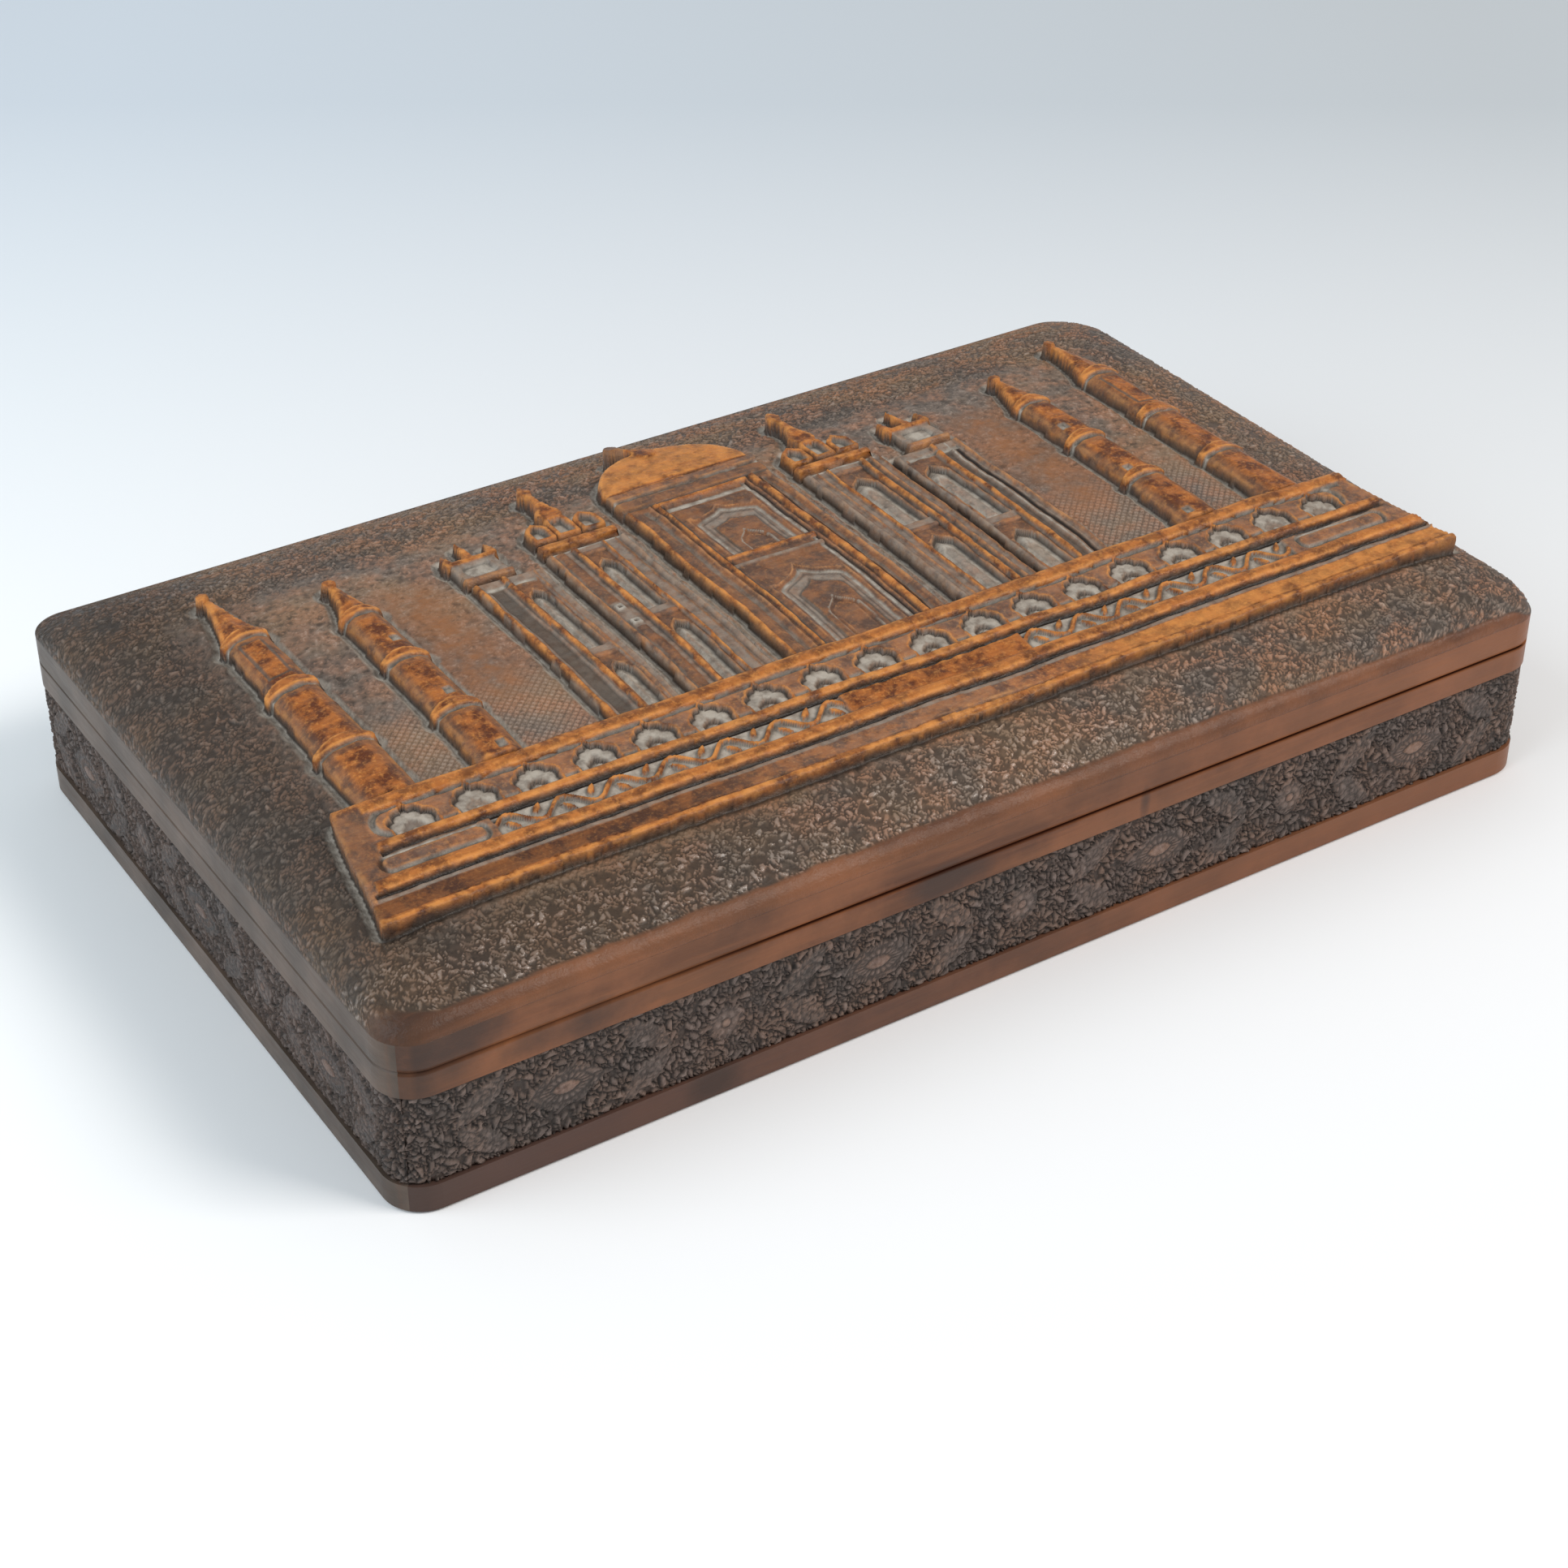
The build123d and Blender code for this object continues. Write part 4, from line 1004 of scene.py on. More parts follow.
# Where the front shoulder is glossy and carries a painted highlight
GLOSS_HIGHLIGHT_FRONT = (-72, -80)
GLOSS_HIGHLIGHT_RIGHT = (70, 20)


def crossed_hatch(x, y):
    """Rows of small raised squares between crossing cuts, 0 in the cuts and 1 on the squares."""
    rate = math.pi / (HATCH_PITCH * math.sqrt(2))
    lines = np.minimum(np.abs(np.sin(rate * (x + y))), np.abs(np.sin(rate * (x - y))))
    return 0.25 + 0.5 * smooth_step(0.15, 0.75, lines)


def carved_ground(x, y, u_lines, v_lines):
    """The carved ground: gouge strokes, leaf scrolls in the border and cross hatching by the building."""
    low, high = (u_lines[0], v_lines[0]), (u_lines[-1], v_lines[-1])
    grainy = 0.5 + 0.25 * soft_noise(x.shape, GRAIN_SIZE / GRID_STEP, SEEDS["grain"])
    punched = stamp(u_lines, v_lines, strokes(low, high, STROKE_COUNT, STROKE_SIZE, SEEDS["strokes"]), 0.0)
    punched = 0.16 + 0.42 * punched + 0.45 * grainy
    leaves = scattered_leaves(low, high, BORDER_LEAF_COUNT, BORDER_LEAF_SIZE, SEEDS["leaves"])
    leaves += scroll_leaves(low, high, BORDER_SCROLL_PITCH, BORDER_SCROLL_LEAF_SIZE, SEEDS["scrolls"])
    leafy = 0.80 * stamp(u_lines, v_lines, leaves, 0.2) + 0.20 * grainy
    border = np.maximum(smooth_step(*BORDER_ENDS, np.abs(x)), smooth_step(*BORDER_BACK, y))
    border = np.maximum(border, smooth_step(*BORDER_FRONT, y))
    hatched = (1 - border) * smooth_step(*HATCH_BACK, y)
    hatched *= smooth_step(*HATCH_INNER, np.abs(x)) * smooth_step(*HATCH_OUTER, np.abs(x))
    pattern = np.clip(punched + (leafy - punched) * border, 0, 1)
    return pattern + (crossed_hatch(x, y) - pattern) * hatched, border


def lid_grid():
    """The grid over the lid, its points on the plain crown, and its lines measured over the crown."""
    x_lines = graded_lines(HALF_LENGTH, GRID_STEP)
    y_lines = graded_lines(HALF_DEPTH, GRID_STEP)
    x, y = np.meshgrid(x_lines, y_lines)
    past = np.maximum(np.abs(y) - (HALF_DEPTH - CORNER_RADIUS), 0)
    row_half = HALF_LENGTH - CORNER_RADIUS + np.sqrt(np.maximum(CORNER_RADIUS ** 2 - past ** 2, 0))
    x = x * row_half / HALF_LENGTH
    crown = np.stack([x, y, BOARD_UNDERSIDE + CROWN_RISE * crown_share(x, y)], -1)
    u_lines = path_length(crown[len(y_lines) // 2][:, [0, 2]])
    v_lines = path_length(crown[:, len(x_lines) // 2][:, [1, 2]])
    return x_lines, y_lines, crown, u_lines, v_lines


def carved_scene(x_lines, y_lines, crown):
    """The building on its terrace: its height over the crown, its gold, its dust with painted sheen, and
    its painted shade.
    """
    x, y, z = np.moveaxis(crown, -1, 0)

    def uneven(seed):
        slow = soft_noise(x.shape, 7 / GRID_STEP, seed)
        return 0.20 * slow + 0.06 * soft_noise(x.shape, 1.5 / GRID_STEP, seed + 1)

    hand_x, hand_y = x + uneven(SEEDS["hand_x"]), y + uneven(SEEDS["hand_y"])
    building = Relief(x_lines, y_lines, hand_x, hand_y)
    carve_building(building)
    building.height *= smooth_step(TERRACE_TOP - 0.4, TERRACE_TOP + 0.2, hand_y)
    terrace = Relief(x_lines, y_lines, hand_x, hand_y)
    carve_terrace(terrace)
    fall = z[:, [len(x_lines) // 2]] - z
    raised = terrace.height + 0.9 * fall * smooth_step(0.2, 1.2, terrace.height)
    in_front = terrace.height > building.height
    tones = [np.where(in_front, near, far) for near, far in zip(terrace.tones, building.tones)]
    return np.maximum(raised, building.height), tones


def carved_lid():
    """The lid board as one carved plank: the crown with all its relief, and a flat underside."""
    x_lines, y_lines, crown, u_lines, v_lines = lid_grid()
    x, y, z = np.moveaxis(crown, -1, 0)
    height, (gold, dust_and_sheen, painted_shade) = carved_scene(x_lines, y_lines, crown)
    standing = smooth_step(0.3, 0.9, height)
    outside = distance_outside(height > 0.6, GRID_STEP, GROOVE_REACH)
    groove = smooth_step(0, 0.5, outside) * (1 - smooth_step(0.8, GROOVE_REACH, outside))
    groove *= 1 - 0.55 * smooth_step(TERRACE_FOOT + 1, TERRACE_FOOT - 1, y)
    height -= GROOVE_DEPTH * groove
    # A grey halo round each raised shape: dust, and a painted highlight on the groove's outer bevel
    halo = smooth_step(0.4, 0.8, outside) * (1 - smooth_step(1.7, 2.5, outside))
    dust_and_sheen = np.maximum(dust_and_sheen, halo * smooth_step(TERRACE_FOOT - 1, TERRACE_FOOT + 1, y))
    # Painted shade in a thin dark line at the foot of each raised shape
    painted_shade = np.maximum(painted_shade, 0.95 * bell(outside - 0.15, 0.33) * (outside > 0))
    # Painted shadow on the ground in front of the terrace's lip
    in_front = (outside > 0) * smooth_step(TERRACE_FOOT + 1, TERRACE_FOOT - 0.5, y)
    painted_shade = np.maximum(painted_shade, 0.9 * bell(outside - 0.6, 0.9) * in_front)

    pattern, border = carved_ground(x, y, u_lines, v_lines)
    plain_top = PLAIN_BAND_TOP - PLAIN_BAND_FALL * smooth_step(40, 140, x)
    plain_top -= PLAIN_CORNER_FALL * smooth_step(138, 149, x)
    plain_top += 0.07 * soft_noise(x.shape, 1.2 / GRID_STEP, SEEDS["plain_band"])
    plain = smooth_step(*PLAIN_FRONT, y) * smooth_step(plain_top + 0.25, plain_top - 0.25, z)
    patch = bell(np.abs(x) - PATCH_MIDDLE, PATCH_REACH)
    patch *= smooth_step(*PATCH_FRONT, y)
    patch *= smooth_step(*PATCH_BACK, y)
    patch *= 1 - standing
    above_rim = z - BOARD_UNDERSIDE
    ground = (1 - standing) * (1 - plain) * (1 - 0.8 * groove) * smooth_step(0, 0.4, above_rim)
    depth = (GROUND_DEPTH + (BORDER_DEPTH - GROUND_DEPTH) * border) * ground * (1 - 0.75 * patch)
    depth *= 1 - 0.45 * smooth_step(*SHALLOW_ENDS, np.abs(x))
    height += depth * (pattern - 0.8)
    height += 0.045 * soft_noise(x.shape, 0.8 / GRID_STEP, SEEDS["wood"]) * standing
    surface = crown + grid_normals(crown) * (height * smooth_step(0, 0.8, above_rim))[..., None]

    # The hollows found here get painted shade in the material
    edge, hollow_shade = edges_of(height, GRID_STEP)
    # Painted shade over the ground towards the left end and along the front towards the left
    left_shade = smooth_step(*LEFT_SHADE_FRONT, y) * smooth_step(*LEFT_SHADE_RIGHT, x)
    attributes = {"gold": gold * standing, "dust_and_sheen": dust_and_sheen, "painted_shade": painted_shade, "edge": edge * standing,
                  "hollow_shade": hollow_shade * standing, "tip": pattern * ground, "patch": patch, "plain": plain,
                  "left_shade": np.maximum(smooth_step(*LEFT_SHADE_END, x), left_shade) * ground,
                  "gloss_and_highlight": smooth_step(*GLOSS_HIGHLIGHT_FRONT, y) * smooth_step(*GLOSS_HIGHLIGHT_RIGHT, x) * ground}
    across, along = np.meshgrid((u_lines - u_lines[0]) / np.ptp(u_lines),
                                (v_lines - v_lines[0]) / np.ptp(v_lines))
    top_uv = np.stack([0.01 + 0.98 * across, 0.38 + 0.61 * along], -1).reshape(-1, 2)
    under_uv = np.stack([0.3 + 0.25 * x / HALF_LENGTH, 0.18 + 0.25 * y / HALF_LENGTH], -1).reshape(-1, 2)
    rows, columns = x.shape
    return mesh_piece("carved_lid", surface.reshape(-1, 3), grid_faces(rows, columns),
                      [rim_of(rows, columns)[::-1]], attributes, top_uv, under_uv)


def path_length(points):
    """The length along a line of points, with 0 at its middle."""
    steps = np.linalg.norm(np.diff(points, axis=0), axis=1)
    length = np.concatenate([[0], np.cumsum(steps)])
    return length - length[-1] / 2


# The carved strip round the base, with its main forms over those of the walls
FLOWERS_ALONG_FRONT = 4
FLOWERS_ALONG_SIDE = 3
FLOWER_LENGTH = 17.0
FLOWER_WIDTH = 9.0
FLOWER_HEART_LENGTH = 6.0
FLOWER_HEART_WIDTH = 2.8
FLOWER_RING_LENGTH = 12.0
FLOWER_RING_WIDTH = 6.2
ROSETTE_RADIUS = 3.8
LEAF_LENGTH = 14.0
LEAF_BREADTH = 4.6
LEAF_RISE = 5.0
LEAF_TILT = math.radians(38)
FORM_MARGIN = 0.45
FORM_BACK = 0.55
STRIP_CLEARANCE = 0.03
STRIP_BACK = STRIP_DEPTH - STRIP_CLEARANCE
STRIP_GROUND = 1.22
GROUND_ROUNDNESS = 0.6
STRIP_LEAVES_PER_MM = 10.0
STRIP_LEAF_SIZE = 1.6
STRIP_SCROLL_PITCH = 10.0
SPRIG_PITCH = 2.3


def wall_outline(half_run, half_out, turn, run, inset):
    """Points on the outside of one wall, at lengths along it from its middle, drawn in by an inset."""
    straight = half_run - CORNER_RADIUS
    past = np.clip((np.abs(run) - straight) / CORNER_RADIUS, 0, math.pi / 4)
    along = np.sign(run) * (np.minimum(np.abs(run), straight) + (CORNER_RADIUS - inset) * np.sin(past))
    out = half_out - CORNER_RADIUS + (CORNER_RADIUS - inset) * np.cos(past)
    cosine, sine = math.cos(turn), math.sin(turn)
    return along * cosine + out * sine, along * sine - out * cosine


def lens(along, across, length, width):
    """The distance from a pointed oval, negative inside it."""
    radius = (length ** 2 + width ** 2) / (4 * width)
    shift = radius - width / 2
    return np.maximum(np.hypot(along, across + shift), np.hypot(along, across - shift)) - radius


def carved_flower(along, across, leafy):
    """A pointed flower in the leaves: a small heart in a hollow, with a fringe of petals round it."""
    heart = lens(along, across, FLOWER_HEART_LENGTH, FLOWER_HEART_WIDTH)
    ring = lens(along, across, FLOWER_RING_LENGTH, FLOWER_RING_WIDTH)
    fringe = 0.45 + 0.4 * np.cos(20 * np.arctan2(across * 1.8, along))
    shape = np.where(heart < 0, 0.9, np.where(ring < 0, fringe, leafy))
    shape = shape * (1 - 0.9 * bell(heart - 0.35, 0.35)) * (1 - 0.8 * bell(ring - 0.3, 0.35))
    return shape, heart < 0


def carved_rosette(along, across, leafy):
    """A round flower of six petals about a knob."""
    radius, turn = np.hypot(along, across), np.arctan2(across, along)
    petals = 0.25 + 0.6 * np.abs(np.cos(3 * turn + 0.4)) * smooth_step(3.2, 2.2, radius)
    shape = np.where(radius < 0.9, 0.9, np.where(radius < 3.0, petals, leafy))
    return shape * (1 - 0.9 * bell(radius - 1.2, 0.25)), radius < 0.9


def carved_leaf(along, across, leafy):
    """A sprig: leaflets slanting off a thin stem, in the leaves round it."""
    between = np.abs(np.sin(math.pi * (along - 0.8 * np.abs(across)) / SPRIG_PITCH))
    leaflets = smooth_step(0.2, 0.8, between) * (1 - bell(np.abs(across) - 0.5, 0.25))
    return 0.78 * leafy + 0.22 * leaflets, np.zeros(along.shape, bool)


def strip_forms(run, z, half_run, count, leafy):
    """One wall's main forms: how far off each point is, how high it stands, whether it is a heart."""
    middle, pitch = (STRIP_BOTTOM + STRIP_TOP) / 2, 2 * half_run / count
    away, shape, heart = np.full(run.shape, 9.0), np.zeros(run.shape), np.zeros(run.shape, bool)

    def put(at_x, at_z, turn, distance, carve):
        nonlocal away, shape, heart
        along = (run - at_x) * math.cos(turn) + (z - at_z) * math.sin(turn)
        across = (z - at_z) * math.cos(turn) - (run - at_x) * math.sin(turn)
        off = distance(along, across)
        height, core = carve(along, across, leafy)
        shape = np.where(off < away, height, shape)
        heart = np.where(off < away, core, heart)
        away = np.minimum(off, away)

    def off_leaf(along, across):
        return lens(along, across, LEAF_LENGTH, LEAF_BREADTH)

    def off_rosette(along, across):
        return np.hypot(along, across) - ROSETTE_RADIUS

    def off_flower(along, across):
        return lens(along, across, FLOWER_LENGTH, FLOWER_WIDTH)

    for index in range(count):
        at = (index - (count - 1) / 2) * pitch
        for side in (-1, 1):
            for level in (-1, 1):
                put(at + side * pitch / 4, middle + level * LEAF_RISE, -side * level * LEAF_TILT,
                    off_leaf, carved_leaf)
        if index:
            put(at - pitch / 2, middle, 0, off_rosette, carved_rosette)
        put(at, middle, 0, off_flower, carved_flower)
    return away, shape, heart


def carved_strip(name, half_run, half_out, turn, count, seed):
    """The carving of one wall, set into the recess round the base, over the forms that stand in it."""
    length = 2 * (half_run - CORNER_RADIUS + CORNER_RADIUS * math.pi / 4)
    run_lines = np.linspace(-length / 2, length / 2, int(length / GRID_STEP) + 1)
    z_lines = np.linspace(STRIP_BOTTOM + STRIP_CLEARANCE, STRIP_TOP - STRIP_CLEARANCE,
                          int((STRIP_TOP - STRIP_BOTTOM) / GRID_STEP) + 1)
    run, z = np.meshgrid(run_lines, z_lines)
    low, high = (run_lines[0], z_lines[0]), (run_lines[-1], z_lines[-1])
    leaf_count = int((high[0] - low[0]) * STRIP_LEAVES_PER_MM)
    leaves = scattered_leaves(low, high, leaf_count, STRIP_LEAF_SIZE, seed + 1)
    leaves += scroll_leaves(low, high, STRIP_SCROLL_PITCH, STRIP_LEAF_SIZE, seed)
    grainy = 0.5 + 0.25 * soft_noise(run.shape, GRAIN_SIZE / GRID_STEP, seed + 5)
    ground = np.clip(0.90 * stamp(run_lines, z_lines, leaves, 0.3) + 0.12 * grainy, 0, 1)
    away, shape, heart = strip_forms(run, z, half_run, count, ground)
    over = away < FORM_MARGIN
    lifted = 1.15 + 0.10 * soft_noise(run.shape, 6 / GRID_STEP, seed + 4)
    inset = STRIP_GROUND - lifted * ground ** GROUND_ROUNDNESS
    inset = np.where(over, 0.46 - 0.38 * shape, inset)
    margin = np.minimum(z - z_lines[0], z_lines[-1] - z)
    inset = np.where(over, inset, inset + 0.35 * smooth_step(0.9, 0.0, margin))
    inset = np.clip(inset, 0.08, STRIP_BACK - 0.06)
    front = np.stack([*wall_outline(half_run, half_out, turn, run, inset), z], -1)
    back_inset = np.where(over, FORM_BACK, STRIP_BACK)
    back = np.stack([*wall_outline(half_run, half_out, turn, run, back_inset), z], -1)
    points, faces = closed_sheet(front, back)
    # The hollows found here get painted shade in the material
    edge, hollow_shade = edges_of(-inset, GRID_STEP)
    pattern = np.where(over, shape, ground)
    attributes = {"gold": 0.45 * heart * over, "edge": edge, "hollow_shade": hollow_shade, "tip": pattern}
    attributes = {key: np.concatenate([values.ravel(), np.zeros(values.size)])
                  for key, values in attributes.items()}
    return mesh_piece(name, points, faces, (), attributes)


# Materials. Their places and distances are metres.
SHINE = 0.25
BUMP_DISTANCE = 0.0003


class Shader:
    """A small helper to write node materials."""

    def __init__(self, name):
        self.material = bpy.data.materials.new(name)
        self.material.use_nodes = True
        self.tree = self.material.node_tree
        self.tree.nodes.clear()
        self.output = self.tree.nodes.new("ShaderNodeOutputMaterial")
        self.surface = self.tree.nodes.new("ShaderNodeBsdfPrincipled")
        self.tree.links.new(self.surface.outputs[0], self.output.inputs["Surface"])

    def put(self, socket, value):
        """Link an output to a socket, or set a plain value."""
        if isinstance(value, bpy.types.NodeSocket):
            self.tree.links.new(value, socket)
        elif value is not None:
            socket.default_value = value

    def fill(self, node, **inputs):
        """Put values or outputs into a node's inputs by name."""
        for name, value in inputs.items():
            self.put(node.inputs[name.replace("_", " ").title().replace("Ior", "IOR")], value)
        return node

    def set(self, **inputs):
        """Set the main surface's inputs by name."""
        self.fill(self.surface, **inputs)

    def node(self, kind, *inputs, output=0, **settings):
        """Add a node with its inputs in order, and give one of its outputs."""
        node = self.tree.nodes.new("ShaderNode" + kind)
        for key, value in settings.items():
            setattr(node, key, value)
        for socket, value in zip(node.inputs, inputs):
            self.put(socket, value)
        return node.outputs[output]

    def value(self, name):
        """A mesh attribute."""
        return self.node("Attribute", attribute_name=name, output=2)

    def place(self, *scale):
        """The place on the object in metres, stretched by a scale."""
        coordinates = self.node("TexCoord", output=3)
        return self.node("Mapping", coordinates, None, None, tuple(scale))

    def noise(self, place, scale, detail=4.0, rough=0.55):
        """Noise from 0 to 1 at a scale in lumps per metre."""
        node = self.tree.nodes.new("ShaderNodeTexNoise")
        self.fill(node, vector=place, scale=scale, detail=detail, roughness=rough)
        return node.outputs["Fac"]

    def axes(self, place):
        """X, Y and Z of a place."""
        return tuple(self.node("SeparateXYZ", place).node.outputs)

    def math(self, operation, first, second=0.5):
        """One step of arithmetic."""
        return self.node("Math", first, second, operation=operation)

    def times(self, first, second):
        """The product of two values."""
        return self.math("MULTIPLY", first, second)

    def spread(self, value, low, high, to_low=0.0, to_high=1.0):
        """Carry a value from one range to another, held within it."""
        return self.node("MapRange", value, low, high, to_low, to_high, clamp=True)

    def mix(self, share, first, second):
        """Mix two colours."""
        node = self.tree.nodes.new("ShaderNodeMix")
        node.data_type = "RGBA"
        for place, value in ((0, share), (6, colour(first)), (7, colour(second))):
            self.put(node.inputs[place], value)
        return node.outputs[2]

    def bump(self, height, strength, distance=BUMP_DISTANCE):
        """A bump from a height, distance in metres."""
        node = self.tree.nodes.new("ShaderNodeBump")
        return self.fill(node, height=height, strength=strength, distance=distance).outputs[0]


def colour(value):
    """A colour written as a hex string, in linear light with alpha. Sockets pass through."""
    if not isinstance(value, str):
        return value
    shares = [int(value[i:i + 2], 16) / 255 for i in (0, 2, 4)]
    return tuple(s / 12.92 if s <= 0.04045 else ((s + 0.055) / 1.055) ** 2.4 for s in shares) + (1.0,)


def ground_tone(s, tones, place, tip, speckle):
    """The tone of the carved ground: rusty in places, a painted highlight on the strokes' backs and painted
    shade in the cuts.
    """
    x, _, _ = s.axes(place)
    tone = s.mix(s.spread(s.noise(place, 30, 3), 0.40, 0.60), tones["field"], tones["field_warm"])
    rusty = s.times(s.spread(s.noise(place, 110, 4), 0.42, 0.60), s.spread(tip, 0.2, 0.7, 0.2, 0.7))
    tone = s.mix(s.times(rusty, s.spread(x, -0.13, -0.04, 0.5, 1.0)), tone, tones["rust"])
    # Painted highlight on the strokes' backs
    lit = s.times(s.spread(tip, 0.45, 0.95), s.spread(speckle, 0.35, 0.60, 0.1, 0.7))
    tone = s.mix(lit, tone, tones["stroke"])
    # Painted shade in the cuts
    tone = s.mix(s.spread(tip, 0.42, 0.08, 0.0, tones["depth"]), tone, tones["pit_and_shade"])
    return s.mix(s.spread(speckle, 0.46, 0.34, 0.0, 0.35), tone, tones["pit_and_shade"])


def worn_tone(s, tones, place, mottle, speckle):
    """The golden brown of the high carving, lighter on its worn edges, with a painted highlight where the
    gold share is above 1.
    """
    grain = s.noise(s.place(60, 900, 900), 1.0, 3)
    tone = s.mix(s.spread(s.noise(place, 190, 6, 0.65), 0.42, 0.57), tones["gold_deep"], tones["gold"])
    tone = s.mix(s.spread(grain, 0.45, 0.72, 0.0, 0.45), tone, tones["gold_deep"])
    tone = s.mix(s.spread(speckle, 0.52, 0.72, 0.0, 0.45), tone, tones["gold_edge"])
    worn_edge = s.times(s.value("edge"), s.spread(mottle, 0.38, 0.62, 0.0, 0.6))
    tone = s.mix(worn_edge, tone, tones["gold_edge"])
    # Painted highlight where the gold share is above 1
    painted_highlight = s.times(s.spread(s.value("gold"), 1.0, 1.6), s.spread(mottle, 0.3, 0.6, 0.2, 0.7))
    return s.mix(painted_highlight, tone, tones["gold_edge"])


def carved_wood(name, tones, planks, is_lid):
    """Waxed carved wood: painted shade in the cuts, dust with painted sheen on sunk floors, golden brown
    where it is worn.
    """
    s = Shader(name)
    place = s.place(1, 1, 1)
    x, _, _ = s.axes(place)
    tip = s.value("tip")
    mottle = s.noise(place, 280, 4)
    speckle = s.noise(place, 950, 3, 0.65)
    tone = ground_tone(s, tones, place, tip, speckle)
    if is_lid:
        patch = s.times(s.value("patch"), s.spread(mottle, 0.3, 0.65, 0.25, 0.85))
        tone = s.mix(patch, tone, tones["patch"])
    golden = s.times(s.value("gold"), s.spread(mottle, 0.25, 0.55, 0.75, 1.0))
    tone = s.mix(golden, tone, worn_tone(s, tones, place, mottle, speckle))
    if is_lid:
        # Grey of dust, with a painted sheen
        dusty_sheen = s.times(s.value("dust_and_sheen"), s.spread(s.noise(place, 420, 4), 0.35, 0.60, 0.45, 1.0))
        tone = s.mix(dusty_sheen, tone, tones["dust_and_sheen"])
        # Painted shade from the dark channel of grooves and shape feet
        tone = s.mix(s.times(s.value("painted_shade"), 0.90), tone, tones["pit_and_shade"])
    # Painted shade in the hollows of the carving
    tone = s.mix(s.times(s.value("hollow_shade"), 0.70), tone, tones["pit_and_shade"])
    rough = s.spread(mottle, 0.2, 0.8, 0.34, 0.52)
    shine = SHINE
    if is_lid:
        wood = plank_nodes(s, planks, "x")[0]
        # Painted shade over the ground at the left end and front left
        tone = s.mix(s.times(s.value("left_shade"), 0.48), tone, tones["left_shade"])
        # Painted shade on the plain band towards its left end
        wood = s.mix(s.spread(x, -0.122, -0.146, 0.0, 0.6), wood, tones["left_shade"])
        tone = s.mix(s.value("plain"), tone, wood)
        gloss_and_highlight = s.times(s.value("gloss_and_highlight"), s.spread(tip, 0.30, 0.7))
        # Painted highlight on the glossy front shoulder
        tone = s.mix(s.times(gloss_and_highlight, 0.17), tone, tones["stroke"])
        rough = s.math("SUBTRACT", rough, s.times(gloss_and_highlight, 0.18))
        shine = s.spread(gloss_and_highlight, 0.0, 1.0, SHINE, 1.0)
    else:
        # Painted shade on the strips towards the left end
        tone = s.mix(s.spread(x, -0.145, -0.149, 0.0, 0.30), tone, tones["pit_and_shade"])
    normal = s.bump(s.math("ADD", speckle, mottle), 0.8)
    s.set(base_color=tone, roughness=rough, specular_ior_level=shine, normal=normal)
    return s.material


# Smudges on the front planks and the left corner: the middle in X and Z, half the width and half the height
SMUDGES = {"base_left": (-0.109, 0.0328, 0.013, 0.0035), "base_middle": (-0.020, 0.0328, 0.008, 0.0032),
           "base_streak": (0.032, 0.0325, 0.0012, 0.004), "lid_corner": (-0.135, 0.0405, 0.009, 0.006),
           "left_corner": (-0.152, 0.0250, 0.008, 0.040), "lid_spot": (0.054, 0.0460, 0.003, 0.0015),
           "foot_spot": (-0.078, 0.0040, 0.005, 0.0035)}
LOWER_BAND = 0.0085
GRAIN_ALONG = 8
GRAIN_ACROSS = 110


def front_wear(s, tones, tone, place, blotch):
    """Tone and shine of the worn front planks: a dull lower band, smudges, and dirt along the seam."""
    x, y, z = s.axes(place)
    low_band = s.times(s.spread(z, LOWER_BAND, LOWER_BAND - 0.001), s.spread(x, -0.12, 0.04, 0.9, 0.2))
    tone = s.mix(low_band, tone, tones["dull"])
    # Lighter towards the right end and darker towards the left end
    tone = s.mix(s.spread(x, 0.0, 0.13, 0.0, 0.5), tone, tones["light"])
    tone = s.mix(s.spread(x, -0.128, -0.147, 0.0, 0.65), tone, tones["smudge"])
    outer = s.spread(s.math("ABSOLUTE", y), (HALF_DEPTH - 1.2) * MM, (HALF_DEPTH - 0.6) * MM)
    for middle_x, middle_z, half_x, half_z in SMUDGES.values():
        across = s.times(s.math("SUBTRACT", x, middle_x), 1 / half_x)
        up = s.times(s.math("SUBTRACT", z, middle_z), 1 / half_z)
        off = s.math("ADD", s.times(across, across), s.times(up, up))
        off = s.math("ADD", off, s.spread(blotch, 0.3, 0.7, -0.7, 0.7))
        tone = s.mix(s.times(s.spread(off, 0.0, 2.2, 0.8, 0.0), outer), tone, tones["smudge"])
    gap = s.math("ABSOLUTE", s.math("SUBTRACT", z, SEAM * MM))
    dirt = s.times(s.spread(gap, 0.0002, 0.0005, 1.0, 0.0), s.spread(x, -0.095, -0.060, 0.35, 1.0))
    tone = s.mix(s.times(dirt, outer), tone, tones["seam"])
    return tone, s.spread(gap, 0.0006, 0.0010, 0.0, SHINE)


def end_sheen_and_shade(s, tones, tone, place, blotch):
    """The outer faces of the end planks, greyed by painted sheen and shade."""
    x, y, _ = s.axes(place)
    past_x = s.spread(s.math("ABSOLUTE", x), (HALF_LENGTH - 4) * MM, (HALF_LENGTH - 1) * MM, 0.0, 0.8)
    past_y = s.spread(s.math("ABSOLUTE", y), (HALF_DEPTH - 7) * MM, (HALF_DEPTH - 3.5) * MM, 0.0, 0.8)
    grey = s.mix(s.spread(blotch, 0.35, 0.65), tones["outer_deep"], tones["outer"])
    return s.mix(s.math("MAXIMUM", past_x, past_y), tone, grey)


